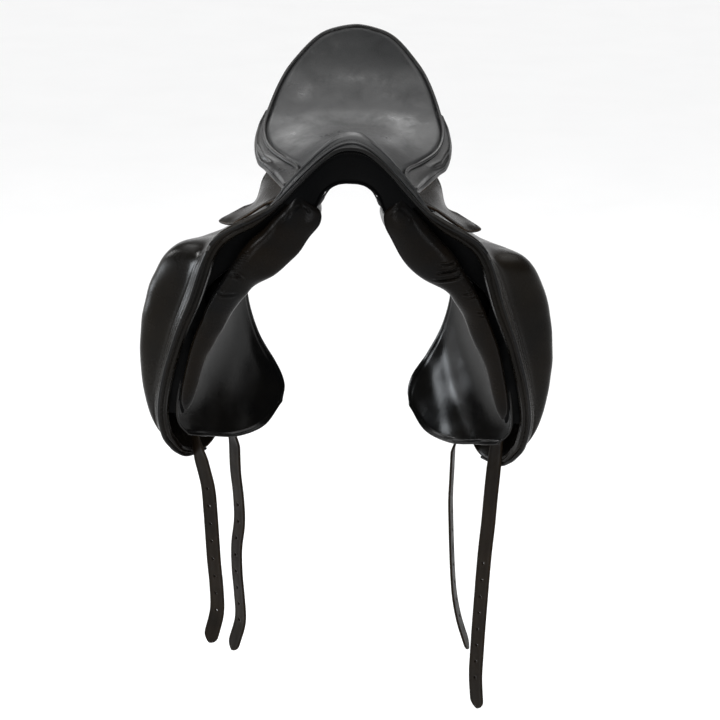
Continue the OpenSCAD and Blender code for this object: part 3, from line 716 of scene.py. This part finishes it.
def webs():
    """The strainer web along the tree and the two girth webs across it."""
    for name, (first, last, half, count, across, depth, node_name) in WEBS.items():
        rows = []
        for k in np.linspace(first, last, count):
            reach = min(half / station(np.array([k]))[0, 1], 0.97)
            rows.append(seat_surface(np.array([k]), reach * np.linspace(-1, 1, across))[0])
        g = np.stack(rows) - [0, 0, depth]
        make(name, slab(g, g - [0, 0, WEB_THICK]), M_canvas, rub=0, nodes=[node_name])


# Side leather under the seat, gussets and skirts.

def on_fold(fold, s):
    """Points at shares s of the way along a fold."""
    return fold[0] + (fold[1] - fold[0]) * np.asarray(s, float)[..., None]


skirt_line = np.array([[86, -190, 6], [134, 5, -6]], float)
SKIRT_OUT = [0.75, 0, -0.66]
JOCKEY_THICK, GUSSET_THICK, CORNER_THICK, SKIRT_THICK = 3.6, 2.5, 2.4, 3.8
SKIRT_SIZE = 95
jockey_q = np.array([1.6, 2.8, 3.8, 4.9, 6, 6.7, 7.2, 7.7, 8.4, 9, 9.6, 10.1])
jockey_rear = [[134, 5, -6], [145, 32, -4], [152, 62, 9], [153, 86, 23], [148, 112, 40], [139.5, 131, 56]]
jockey_fold = on_fold(skirt_line, [0.05, 0.22, 0.45, 0.68, 0.85])
jockey_low = np.concatenate([[[95, -213, 5]], jockey_fold, jockey_rear])
jockey_up = rim(jockey_q, 3.4 - 2.6 * smoothstep(8.4, 10.1, jockey_q), 2.5)
jockey_bulge = np.outer(1 - smoothstep(8, 10.1, jockey_q), [4.5, 0, 2.5])
jockey_net = [jockey_up, (jockey_up + jockey_low) / 2 + jockey_bulge, jockey_low]
jockey_folds = [[(0.07, 0.55), (0.16, 0.72), (0.3, 0.8), (0.44, 0.76)],
                [(0.5, 0.45), (0.62, 0.6), (0.74, 0.66)]]
gusset_net = [
    [[110, -52, -13], [116, -20, -10], [128, 12, -10], [138, 45, -3], [143, 74, 12], [139, 104, 32],
     [130, 132, 47], [114, 162, 53]],
    [[106, -52, -27], [112, -20, -24], [121, 12, -22], [130, 45, -14], [133, 74, 0], [129, 104, 20],
     [122, 134, 29], [107, 164, 32]],
    [[101, -52, -38], [107, -20, -36], [113, 12, -34], [119, 45, -26], [121, 74, -13], [118, 104, 7],
     [112, 136, 8], [98, 166, 10]]]
corner_net = [
    [[84, -227, 18], [85, -212, 16], [86, -196, 14], [86, -178, 8]],
    [[98, -228, 7], [99, -212, 4.5], [99, -196, 2.5], [98, -178, 0]],
    [[113, -228, -4], [113, -212, -9], [113, -196, -14], [113, -178, -19]]]
# The skirt below its first row, which lies on the fold.
skirt_net = [
    [[105, -174, -3], [118, -136, -8], [127, -100, -11], [132, -66, -13], [135, -34, -13]],
    [[125, -162, -14], [135, -131, -24], [141, -100, -31], [143, -78, -36], [143, -58, -38]],
    [[148, -150, -33], [157, -128, -40], [162, -104, -44], [163, -88, -45], [161, -74, -44]],
    [[170, -140, -50], [182, -122, -56], [193, -104, -58], [192, -92, -58], [185, -80, -57]]]
skirt_net.insert(0, on_fold(skirt_line, [0.09, 0.27, 0.5, 0.74, 0.9]))


def jockey(side):
    """The leather below the seat's rim, with its folds and the thread along its lower edge."""
    g = patch(jockey_net, steps(200), steps(50))
    n = normals(g)
    g = raised(g, n, 0.6 * waves(g, 80, 14, 2) * steps(50)[:, None])
    for fold in jockey_folds:
        line = [patch(jockey_net, [u], [v])[0, 0] for u, v in fold]
        g = crease(g, n, line, 1.3, 2.6, 0.6, 0.3)
    sheet(side + "_jockey", g, n, JOCKEY_THICK, M_side)
    make(side + "_jockey_thread", edge_thread(g, n, [("bottom", 5, 0.05, 0.97)]), M_thread)


def gusset(side):
    """The leather between the jockey's rear and the panel."""
    g = patch(gusset_net, steps(60), steps(16))
    sheet(side + "_gusset", g, normals(g), GUSSET_THICK, M_shade_darkened, 0.4)


def corner(side):
    """The leather over the front corner, between the seat, the facing and the flap's top."""
    g = patch(corner_net, steps(30), steps(24))
    make(side + "_corner_leather", slab(g, g - normals(g) * CORNER_THICK), M_flap, rub=0)


def skirt(side):
    """The small flap over the stirrup bar, with a groove and thread inside its edge."""
    g = patch(skirt_net, steps(70), np.linspace(0.012, 1, 52))
    n = normals(g)
    down, along = shares(52, 70)
    edge = np.minimum(np.minimum(along, 1 - along), 1 - down) * SKIRT_SIZE
    g = raised(g, n, -0.7 * bump(edge - 6, 1.5))
    runs = [("bottom", 5.5, 0.06, 0.94), ("front", 5.5, 0.25, 0.94), ("back", 5.5, 0.25, 0.94)]
    make(side + "_skirt_thread", edge_thread(g, n, runs), M_thread, body=side + "_skirt")
    piece = make(side + "_skirt_leather", slab(g, g - n * SKIRT_THICK, 0.45), M_flap,
                 nodes=[side + "_skirt"], body=None)
    fold_blend(piece, side + "_skirt", skirt_line, SKIRT_OUT)


# Flaps: the fixed top and the lifting flap are one sheet, drawn with a bend at the fold.

flap_fold = np.array([[200, -226, -60], [170, 75, -100]], float)
FLAP_OUT = [0.6, 0, -0.8]
FLAP_THICK, BORDER_THICK, FLAP_WELT, POMMEL_CORD = 4.6, 3.4, 2.5, 2.1
FLAP_COLUMNS, TOP_ROWS, LOW_ROWS = 86, 26, 104
FLAP_SEED = {"left": 12, "right": 11}
# Where the columns of the nets above and below the fold meet it.
top_s = np.array([0, 0.2, 0.42, 0.74, 1])
low_s = np.array([0, 0.1, 0.3, 0.6, 1])
flap_top_net = [
    [[110, -226, -2], [110, -166, -24], [102, -100, -39], [116, -3, -42], [138, 75, -60]],
    [[127, -228, -12], [126, -166, -32], [127, -100, -50], [132, -3, -58], [147, 75, -77]],
    [[160, -228, -28], [160, -166, -48], [158, -100, -64], [153, -3, -77], [157, 75, -90]]]
flap_top_net.append(on_fold(flap_fold, top_s))
flap_net = [
    [[214, -219, -96], [222, -196, -92], [256, -140, -88], [228, -40, -108], [184, 79, -126]],
    [[228, -210, -142], [238, -190, -138], [288, -139, -134], [250, -36, -156], [187, 83, -178]],
    [[251, -197, -205], [261, -176, -203], [305, -137, -200], [262, -30, -216], [190, 84, -238]],
    [[272, -177, -280], [280, -158, -279], [309, -128, -276], [262, -30, -286], [189, 80, -296]],
    [[281, -154, -342], [287, -140, -343], [300, -115, -342], [252, -32, -348], [187, 60, -346]],
    [[276, -138, -386], [279, -128, -388], [281, -108, -390], [238, -42, -398], [193, 26, -390]],
    [[266, -128, -408], [257, -116, -422], [243, -92, -437], [219, -52, -442], [203, -14, -430]]]
flap_net.insert(0, on_fold(flap_fold, low_s))
# The middle of the ridged border along the flap's front, from the pommel down.
border_line = [
    [90, -231, 16], [108, -232.5, -1], [134, -233.5, -20], [164, -233, -37], [185, -231, -54],
    [199, -227.5, -79], [207, -222, -106], [221, -214, -150], [243, -201, -207], [264, -181, -281],
    [273.5, -158, -342], [270, -142, -386], [262, -129, -408], [250, -114, -425], [236, -92, -436]]


def place_u(stops, s):
    """Where along a row the fold position s lies."""
    u = steps(400)
    return np.interp(s, curve(stops[:, None], u)[:, 0], u)


def flap_grid():
    """The flap's sheet, with its fold eased."""
    a = steps(FLAP_COLUMNS)
    s = 0.55 * a ** 1.7 + 0.45 * a
    top = patch(flap_top_net, place_u(top_s, s), steps(TOP_ROWS))
    low = patch(flap_net, place_u(low_s, s), steps(LOW_ROWS))
    near = slice(TOP_ROWS - 6, TOP_ROWS + 5)
    g = np.concatenate([top[:-1], low])
    g[near] = smoothed(g[near], 6)
    return g


def flap_blend(piece, side):
    """Hands a piece to fold_blend with the flap's fold, which bakes its placement."""
    fold_blend(piece, side + "_flap", flap_fold, FLAP_OUT)


def flap(side):
    """The flap's leather, with grooves inside its edges, soft waves and thread."""
    g = flap_grid()
    n = normals(g)
    front = np.stack([lengths(r) for r in g])
    back = front[:, -1:] - front
    low = lengths(g[:, 40])[-1] - np.stack([lengths(c) for c in g.transpose(1, 0, 2)], 1)
    below = smoothstep(95, 150, lengths(g[:, 0]))[:, None]
    grooves = bump(front - 7, 1.5) + below * bump(front - 17, 1.6)
    grooves = grooves + 0.7 * bump(back - 7, 1.5) + 0.6 * bump(low - 7, 1.5) * below
    g = raised(g, n, 0.9 * waves(g, 90, FLAP_SEED[side], 2) * smoothstep(25, 60, front) - grooves)
    runs = [("back", 6.5, 0.03, 0.95), ("bottom", 6.5, 0.1, 0.92)]
    sewn = TOP_ROWS + 8
    make(side + "_flap_thread", edge_thread(g[sewn:], n[sewn:], runs), M_thread,
         body=side + "_flap")
    piece = make(side + "_flap_leather", slab(g, g - n * FLAP_THICK, 0.42), M_flap,
                 nodes=[side + "_flap", side + "_flap_top"], body=None)
    flap_blend(piece, side)


def flap_border(side):
    """Two rolled ridges that face forward, sewn to the flap's front edge."""
    path = even(curve(border_line, steps(300)), 2.2)
    t = unit(np.gradient(path, axis=0))
    out = unit(np.stack([-t[:, 2], np.zeros(len(t)), t[:, 0]], 1))
    ahead = unit(np.cross(t, out))
    ahead = ahead * -np.sign(ahead[:, 1:2])
    across = np.linspace(-1, 1, 25)
    ridge = 2.6 * np.abs(np.sin(across * math.pi)) ** 0.7 - 5.0 * np.abs(across) ** 5
    s = lengths(path)
    narrow = 0.35 + 0.65 * smoothstep(0, 70, s)
    wide = 8.2 * narrow * (1 - 0.55 * smoothstep(-60, 0, s - s[-1]))
    g = raised(path[:, None], out[:, None], np.outer(wide, across))
    g = raised(g, ahead[:, None], np.outer(narrow, ridge))
    piece = make(side + "_flap_border", slab(g, g - ahead[:, None] * BORDER_THICK, 0.2), M_flap,
                 0.4, body=None)
    flap_blend(piece, side)


def flap_piping(side):
    """The welt down the flap's front edge and round its lower corner."""
    edge = np.concatenate([np.stack([r[0] for r in flap_net]), flap_net[-1][1:4]]) + [-2, -4.4, -1.5]
    path = even(curve(edge, np.linspace(0.02, 1, 160)), 3)
    make(side + "_flap_piping", tube(path, FLAP_WELT, 9), M_welt,
         nodes=[side + "_flap_welt"], body=side + "_flap")


def flap_top_line(gap):
    """A line on the flap's fixed top, a gap behind its front edge."""
    top = patch(flap_top_net, np.linspace(0, 0.4, 60), np.linspace(0.12, 0.9, 70))
    line, up = inset(top, normals(top), "front", gap)
    return line + up * 0.5


def pommel_band():
    """The stitched band over the pommel and down both flanks: two cords, and thread between them."""
    parts = []
    for q, gap, sink in ((0.55, 3.5, 0), (1.7, 12, 2.2)):
        line, up = seat_line(q, np.linspace(0, 0.97, 90))
        half = np.concatenate([line + up * 0.3, flap_top_line(gap)])
        path = smoothed(even(mirrored(half), 2.5), 14)
        path[:, 2] -= sink * bump(path[:, 0], 40)
        parts.append(tube(path, POMMEL_CORD))
    make("pommel_cords", merged(parts), M_seat)
    line, up = seat_line(0.95, np.linspace(-0.97, 0.97, 170))
    make("pommel_thread", stitches(line, up), M_thread)


# Sweat flaps and knee blocks.

sweat_net = [
    [[178, -186, -112], [164, -140, -101], [151, -70, -93], [143, -5, -88], [141, 45, -90]],
    [[202, -182, -165], [196, -140, -158], [182, -70, -152], [167, -5, -150], [156, 45, -150]],
    [[229, -175, -225], [220, -134, -222], [205, -70, -218], [185, -5, -215], [163, 42, -212]],
    [[247, -164, -290], [235, -128, -288], [214, -70, -285], [180, -3, -288], [146, 53, -288]],
    [[254, -150, -335], [239, -121, -339], [208, -70, -345], [165, -5, -350], [121, 60, -336]],
    [[252, -140, -366], [232, -119, -378], [194, -76, -396], [148, -15, -402], [104, 52, -372]],
    [[240, -130, -388], [212, -106, -401], [172, -62, -419], [133, -10, -421], [105, 32, -396]]]
SWEAT_THICK = 3.6
SWEAT_WIDTH, SWEAT_HEIGHT = 230, 330
SWEAT_SEED = {"left": 24, "right": 21}
# How much each hem ripples.
RIPPLE = {"left": 2.4, "right": 0.8}


def sweat_flap(side):
    """The leather under the flap, with a rippled and curled hem and thread on its inner face."""
    nu, nv = 110, 140
    g = patch(sweat_net, steps(nu), steps(nv))
    n = normals(g)
    down, along = shares(nv, nu)
    rear = np.minimum((1 - along) * SWEAT_WIDTH, (1 - down) * SWEAT_HEIGHT)
    edge = np.minimum(along * SWEAT_WIDTH, rear)
    ripple = RIPPLE[side] * waves(g, 62, 26, 1) * smoothstep(130, 20, rear)
    curl = 4 * smoothstep(30, 0, rear) ** 1.5
    lift = 0.8 * waves(g, 110, SWEAT_SEED[side], 1) + ripple - curl
    g = raised(g, n, lift * smoothstep(0.25, 0.6, down))
    inner = raised(g, n, 0.8 * bump(edge - 6, 1.4) - SWEAT_THICK)
    runs = [("back", 6, 0.45, 0.97), ("bottom", 6, 0.03, 0.97)]
    make(side + "_sweat_thread", edge_thread(inner, -n, runs), M_thread)
    make(side + "_sweat_flap_leather", slab(g, inner, 0.42), M_sweat,
         nodes=[side + "_sweat_flap"])


def knee_block(side):
    """The pad between the sweat flap and the flap, in front of the rider's knee."""
    nu, nv = 40, 56
    under = patch(sweat_net, np.linspace(0.07, 0.27, nu), np.linspace(0.08, 0.8, nv))
    base = under + normals(under) * 1.4
    lip = base + normals(under) * 5
    face = patch(flap_net, np.linspace(0.15, 0.35, nu), np.linspace(0.13, 0.84, nv))
    face = face - normals(face) * 8.5
    a = 1 - np.linspace(-1, 1, nu) ** 4
    b = (1 - np.linspace(-1, 1, nv) ** 4) * (1 - 0.75 * smoothstep(0.55, 1, steps(nv)))
    outer = lip + (face - lip) * (np.outer(b, a) ** 0.6)[..., None]
    piece = make(side + "_knee_block_pad", slab(outer, base, 0.06), M_shade_darkened, 0.4,
                 [side + "_knee_block"])


# Panels: the rear of each panel, and the stuffed form at its front that tapers down into the roll.

# A panel's station is its y, x, z, half width, half thickness and tilt in degrees.
panel_stations = [
    [-222, 110, -60, 58, 13, 48], [-214, 110, -61, 72, 21, 48], [-203, 109, -66, 76, 19, 48],
    [-172, 105, -70, 76, 20, 48], [-120, 99, -76, 69, 22, 45], [-60, 91, -66, 54, 20, 36],
    [0, 86, -56, 42, 17, 29], [60, 83, -44, 42, 20, 25], [110, 82, -30, 44, 25, 22],
    [160, 79, -12, 44, 28, 19], [205, 71, 7, 35, 26, 14], [228, 66, 16, 25, 20, 12],
    [238, 64, 20, 13, 10, 10]]
# Outer edge x and z, inner edge x and z, front y and back y, from the pommel to the roll's tip.
stuffed_stations = [
    [76, 19, 60, 8, -231, -222], [88, 6, 48, -4, -235, -213], [107, -16, 49, -22, -239, -210],
    [126, -36, 59, -41, -241, -209], [148, -60, 77, -73, -242, -209], [163, -83, 104, -100, -240, -208],
    [178, -108, 134, -119, -235, -205], [195, -139, 147, -139, -229, -200],
    [209, -171, 165, -165, -221, -194], [222, -206, 184, -203, -212, -187],
    [234, -253, 206, -248, -199, -178], [242, -294, 218, -292, -188, -170],
    [244, -318, 226, -318, -181, -166], [240, -332, 234, -333, -174, -168]]
STUFFED_LAST = len(stuffed_stations) - 1
# Wrinkles: station, angle from and to (0 is the outer edge, 90 the front), sag, depth and width.
bold_folds = [
    (4.35, 12, 80, 0.12, 1.5, 1.5), (4.7, 10, 100, 0.16, 2.0, 1.7), (5.05, 8, 128, 0.2, 1.9, 1.6),
    (6.15, 25, 90, 0.1, 0.9, 1.2), (6.4, 30, 80, 0.1, 0.7, 1.1), (7.25, 30, 75, 0.08, 0.8, 1.1),
    (7.45, 35, 70, 0.08, 0.6, 1.0)]
fine_folds = [(4.2 + 0.17 * k, 14, 48 + 7 * (k % 3), 0.05, 0.8, 1.1) for k in range(7)]
fine_folds += [(5.75, 30, 95, -0.2, 1.3, 2.2), (6.6, 30, 110, 0.15, 0.8, 2.0)]
FOLDS = {"left": bold_folds, "right": fine_folds}
# How the inner edge differs on each side: station, reach and shift in x.
INNER_SHIFT = {"left": (7, 1.6, 9), "right": (1.8, 1.6, -8)}
# Tucks at the pommel, as x and z.
tucks = [[(55, -8), (60, 0), (67, 6)], [(67, 6), (75, 3), (84, -6), (88, -16)]]
PANEL_WELT = 1.7
PANEL_SEED = {"left": 33, "right": 31}
STUFFED_SEED = {"left": 44, "right": 41}


def blunt(c, power):
    """A wave with its peaks flattened, for a power under 1."""
    return np.sign(c) * np.abs(c) ** power


def closed_normals(g):
    """Outward normals of rings of points round a line."""
    around = np.roll(g, -1, 1) - np.roll(g, 1, 1)
    n = unit(np.cross(np.gradient(g, axis=0), around))
    centre = g.mean(1, keepdims=True)
    return n * np.sign(np.sum(n * (g - centre)))


def panel(side):
    """The panel along the horse's back, and its piping."""
    r = curve(panel_stations, steps(150))
    a = np.linspace(0, 2 * math.pi, 72, endpoint=False)
    through = blunt(np.cos(a), 0.68)[None] * r[:, 4:5]
    along = blunt(np.sin(a), 0.68)[None] * r[:, 3:4]
    tilt = np.radians(r[:, 5:6])
    x = r[:, 1:2] + along * np.cos(tilt) + through * np.sin(tilt)
    z = r[:, 2:3] - along * np.sin(tilt) + through * np.cos(tilt)
    g = np.stack([x, np.broadcast_to(r[:, 0:1], x.shape), z], -1)
    n = closed_normals(g)
    g = raised(g, n, 0.9 * waves(g, 85, PANEL_SEED[side], 2))
    piece = make(side + "_panel_leather", closed_shape(g), M_panel,
                 nodes=[side + "_panel"])
    seam = even((g + n * 0.8)[20:, 14], 3)
    make(side + "_panel_piping", tube(seam, PANEL_WELT), M_welt)


def stuffed_grid(side, rows=400, sides=88):
    """The stuffed front without its wrinkles."""
    r = curve(stuffed_stations, steps(rows))[:, None, :].copy()
    middle, reach, shift = INNER_SHIFT[side]
    r[..., 2] += shift * bump(np.linspace(0, STUFFED_LAST, rows)[:, None] - middle, reach)
    a = np.linspace(0, 2 * math.pi, sides, endpoint=False)[None, :]
    across, front = blunt(np.cos(a), 0.9), blunt(np.sin(a), 0.95)
    x = (r[..., 0] + r[..., 2]) / 2 + (r[..., 0] - r[..., 2]) / 2 * across
    z = (r[..., 1] + r[..., 3]) / 2 + (r[..., 1] - r[..., 3]) / 2 * across
    half = (r[..., 5] - r[..., 4]) / 2
    y = (r[..., 4] + r[..., 5]) / 2 - half * (front + 0.22 * across * np.maximum(front, 0))
    return np.stack([x, y, z], -1)


def stuffed_front(side):
    """The front of the panel and its knee roll: one stuffed form with tucks and wrinkles."""
    g = stuffed_grid(side)
    rows, sides = g.shape[:2]
    n = closed_normals(g)
    slim = smoothstep(330, 150, -g[..., 2])
    g = raised(g, n, 1.1 * waves(g, 78, STUFFED_SEED[side], 2) * slim)
    k = steps(14)
    for place, start, stop, sag, depth, width in FOLDS[side]:
        row = (place + sag * np.sin(math.pi * k)) / STUFFED_LAST * (rows - 1)
        col = (start + (stop - start) * k) / 360 * sides
        line = g[np.round(row).astype(int), np.round(col).astype(int)]
        g = crease(g, n, line, 1.4 * depth, width, 0.6, 0.3)
    front = g[:, 4:sides // 2 - 3].reshape(-1, 3)
    for tuck in tucks:
        line = [front[np.argmin(np.hypot(front[:, 0] - x, front[:, 2] - z))] for x, z in tuck]
        g = crease(g, n, line, 0.8, 1.7, 0.3, 0.4)
    piece = make(side + "_front_roll_leather", closed_shape(g), M_panel,
                 nodes=[side + "_front_roll"])


# Girth billets, with punched holes.

# A billet is the way it faces in degrees, its root, and the y and then each x and z of its free end.
front_top = [
    [122, -94, -60], [150, -94, -78], [178, -95, -108], [200, -95, -150], [221, -95, -218],
    [234, -95, -286]]
BILLETS = {
    "right_front": (35, front_top + [
        [236, -96, -343], [230, -98, -400], [219.5, -100, -445]], -100, [
        (219, -447), (209, -490), (205, -533), (202, -576), (199, -619), (195, -662), (194, -705),
        (203, -748)]),
    "left_front": (135, front_top + [
        [237, -96, -343], [236, -98, -400], [233.2, -100, -445]], -100, [
        (233, -447), (231, -492), (229.5, -537), (227, -582), (225.5, -627), (224.5, -672), (223.5, -717),
        (223, -762), (223, -807), (227, -852)]),
    "right_rear": (50, [
        [133, -24, -71], [152, -25, -90], [168, -26, -118], [183, -26, -152], [202, -27, -216],
        [206, -28, -287], [199, -29, -348], [184, -30, -400], [173, -30, -445]], -30, [
        (173, -447), (171, -491), (166, -535), (164, -579), (168, -623), (167, -667), (163, -711),
        (161, -755), (171, -798)]),
    "left_rear": (78, [
        [133, -24, -71], [152, -25, -90], [168, -25, -118], [183, -25, -152], [202, -24, -216],
        [206, -23, -287], [200, -22, -348], [186, -21, -400], [173.3, -20, -445]], -20, [
        (173, -447), (173, -490), (173, -532), (175.5, -575), (178.5, -618), (182, -660), (187, -703),
        (196, -745), (210, -788)]),
}
BILLET_WIDTH, BILLET_HALF, HOLE_RADIUS, HOLE_GAP, HOLES = 25.0, 1.9, 2.2, 30, 8
ROOT_ANGLE = 108
# The rounded tip: distances past the end of the curve, and the widths from that end on.
TIP_PLACES = np.array([[4], [8], [11], [12.5]])
TIP_WIDTHS = [24.2, 21.5, 15.5, 7.5, 1.5]


def punched(piece, cutter):
    """Cuts one object out of another, and removes the cutter."""
    cut = piece.modifiers.new("holes", "BOOLEAN")
    cut.object = cutter
    cut.solver = "EXACT"
    bpy.context.view_layer.update()
    done = bpy.data.meshes.new_from_object(piece.evaluated_get(bpy.context.evaluated_depsgraph_get()))
    piece.modifiers.clear()
    piece.data = done
    bpy.data.objects.remove(cutter)


def billet(name):
    """A flat strap with pressed edges, from under the flap down to its tip."""
    angle, root, y, ends = BILLETS[name]
    free = np.array([[x, y, z] for x, z in ends], float)
    up = curve(root, steps(90))
    turn_up = ROOT_ANGLE + (angle - ROOT_ANGLE) * (np.maximum(steps(90) - 0.6, 0) / 0.4) ** 1.4
    count = max(int(round((free[0][2] - free[-1][2]) / HOLE_GAP)), 6)
    down = curve(free, steps(count * 6 + 1))
    path = np.concatenate([up[:-1], down, down[-1] + unit(down[-1] - down[-2]) * TIP_PLACES])
    turn = np.radians(np.concatenate([turn_up[:-1], np.full(len(down) + len(TIP_PLACES), angle)]))
    width = np.concatenate([np.full(len(path) - len(TIP_WIDTHS), BILLET_WIDTH), TIP_WIDTHS]) / 2
    t = unit(np.gradient(path, axis=0))
    side = np.stack([np.cos(turn), np.sin(turn), np.zeros_like(turn)], 1)
    side = unit(side - t * np.sum(side * t, 1, keepdims=True))
    n = np.cross(t, side)
    cols = np.array([-1, -0.86, -0.72, -0.4, 0, 0.4, 0.72, 0.86, 1])
    g = raised(path[:, None], side[:, None], np.outer(width, cols))
    half = n[:, None] * (BILLET_HALF - 0.35 * bump(np.abs(cols) - 0.72, 0.07))[None, :, None]
    strap = slab(g + half, g - half, 0.4)
    piece = make(name + "_billet_strap", strap, M_billet, body=None)
    holes = []
    for k in range(max(count - HOLES, 1), count):
        c = curve(free, np.array([(k - 0.5) / count]))[0]
        i = int(np.argmin(np.linalg.norm(path - c, axis=1)))
        holes.append(tube(np.stack([c - n[i] * 6, c, c + n[i] * 6]), HOLE_RADIUS, 20, False))
    punched(piece, make(name + "_cutter", merged(holes), M_billet, body=None))
    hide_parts(name + "_billet", name + "_billet_root")
    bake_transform(piece)


# Every piece is made here. The nodes that no piece stands for are wood or steel.

for maker in (seat, foam, seat_piping, facing, pommel_piping, cantle, lining, webs, pommel_band):
    maker()
for maker in (pocket, jockey, gusset, corner, skirt, flap, flap_border, flap_piping, sweat_flap, knee_block,
              panel, stuffed_front):
    for side in SIDES:
        maker(side)
for name in BILLETS:
    billet(name)
for name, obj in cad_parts.items():
    if obj.hide_render:
        continue
    obj.data.materials.clear()
    obj.data.materials.append(M_wood if name.startswith("tree") or name.endswith("rail") else M_steel)


# Floor, light and camera, in metres.

FLOOR_HEIGHT, FLOOR_RADIUS = -1.25, 60
SUN_STRENGTH, SUN_SPREAD, SUN_TILT = 2.8, 95, -14
# A lamp is its place, what it aims at, its size, its power in watts and its colour.
WHITE = (1, 1, 1)
LAMPS = {
    "back_light": ((-0.4, 2.6, 2.3), (0, 0, 0.1), (2.6, 1.6), 25, WHITE),
    "seat_light": ((0.5, -1.5, 1.87), (-0.05, 0.2, 0.13), (0.3, 0.3), 5, WHITE),
    "top_window": ((-0.01, 0.02, 2.48), (-0.07, 0.156, 0.085), (0.3, 0.2), 3, WHITE),
    "seat_window": ((0.25, 1.6, 1.93), (0.075, 0.109, 0.056), (0.3, 0.2), 3, WHITE),
    "key_light": ((-2.05, -1.35, 1.3), (-0.06, -0.2, 0.05), (0.4, 0.5), 14, (0.97, 0.98, 1)),
    "left_strip": ((-1.5, -2.55, 0.35), (0, -0.15, -0.1), (0.22, 1.4), 8, (0.95, 0.97, 1)),
    "right_strip": ((1.4, -2.65, 0.35), (0, -0.15, -0.1), (0.22, 1.4), 8, (0.93, 0.96, 1)),
    "low_window": ((-2.19, 0.54, -0.19), (0.15, 0, -0.36), (0.85, 0.5), 17, (0.9, 0.95, 1)),
    "rear_left": ((-2.07, 1.3, 0.7), (-0.15, 0.05, 0), (0.4, 0.5), 8, WHITE),
}
# Sines of the heights above the horizon at which the wall ends and begins to fade, then its levels.
WALL_TOP, WALL_FADE = 0.2, 0.12
SKY_LEVEL, WALL_LEVEL = 0.12, 0.93
CAMERA_PLACE = (0.0211, -2.95388, 0.76665)
CAMERA_TILT, CAMERA_ROLL, CAMERA_LENS = 70, 1.8, 100


def seen_rays(t):
    """1 for rays to the eye, straight, mirrored or through glass, and 0 for light that only bounces."""
    rays = node(t, "LightPath", {}).outputs
    seen = math_node(t, "ADD", rays["Is Camera Ray"], rays["Is Glossy Ray"])
    return math_node(t, "ADD", seen, rays["Is Transmission Ray"])


def floor():
    """A wide floor, white to the eye and in reflections, and duller where it only bounces light."""
    mat, t, shader, coord = start_material("pale_floor")
    white = ramp(t, noise(t, coord, 3), (0.3, grey(0.94)), (0.7, grey(0.96)))
    colour = colour_mix(t, seen_rays(t), (*grey(0.28), 1), white)
    feed(t, shader, {"Base Color": colour, "Roughness": 0.9, "Specular IOR Level": 0.1})
    bpy.ops.mesh.primitive_circle_add(vertices=96, radius=FLOOR_RADIUS, fill_type="NGON",
                                      location=(0, 0, FLOOR_HEIGHT))
    disc = bpy.context.object
    disc.name = "studio_floor"
    disc.data.materials.append(mat)


def placed(name, data):
    """An object for a lamp's or camera's data."""
    obj = bpy.data.objects.new(name, data)
    scene.collection.objects.link(obj)
    return obj


def ceiling():
    """A sun spread so wide that it lights like a white ceiling."""
    light = bpy.data.lights.new("ceiling_light", "SUN")
    light.energy = SUN_STRENGTH
    light.angle = math.radians(SUN_SPREAD)
    placed("ceiling_light", light).rotation_euler = (math.radians(SUN_TILT), 0, 0)


def lamp(name):
    """A rectangular lamp that faces what it aims at."""
    place, target, size, watts, colour = LAMPS[name]
    light = bpy.data.lights.new(name, "AREA")
    light.shape = "RECTANGLE"
    light.size, light.size_y = size
    light.energy = watts
    light.color = colour
    obj = placed(name, light)
    obj.location = place
    obj.rotation_euler = (Vector(target) - Vector(place)).to_track_quat("-Z", "Y").to_euler()


def surroundings():
    """A dim sky, and round the floor a low wall that is white to the eye and in reflections."""
    scene.world = bpy.data.worlds.new("studio")
    scene.world.use_nodes = True
    t = scene.world.node_tree
    split = node(t, "SeparateXYZ", {0: node(t, "TexCoord", {}).outputs["Generated"]})
    wall = node(t, "MapRange", {"Value": split.outputs["Z"], "From Min": WALL_TOP, "From Max": WALL_FADE})
    shown = math_node(t, "MULTIPLY", seen_rays(t), wall.outputs["Result"])
    level = node(t, "MapRange", {"Value": shown, "To Min": SKY_LEVEL, "To Max": WALL_LEVEL})
    feed(t, t.nodes["Background"], {"Strength": level.outputs["Result"], "Color": (0.98, 0.985, 1, 1)})


def camera():
    """The view of the photograph."""
    data = bpy.data.cameras.new("camera")
    data.lens = CAMERA_LENS
    data.sensor_width = 36
    scene.camera = placed("camera", data)
    scene.camera.location = CAMERA_PLACE
    tilt = Matrix.Rotation(math.radians(CAMERA_TILT), 3, "X")
    roll = Matrix.Rotation(math.radians(CAMERA_ROLL), 3, "Z")
    scene.camera.rotation_euler = (tilt @ roll).to_euler()


floor()
ceiling()
for name in LAMPS:
    lamp(name)
surroundings()
camera()
scene.view_settings.view_transform = "Standard"
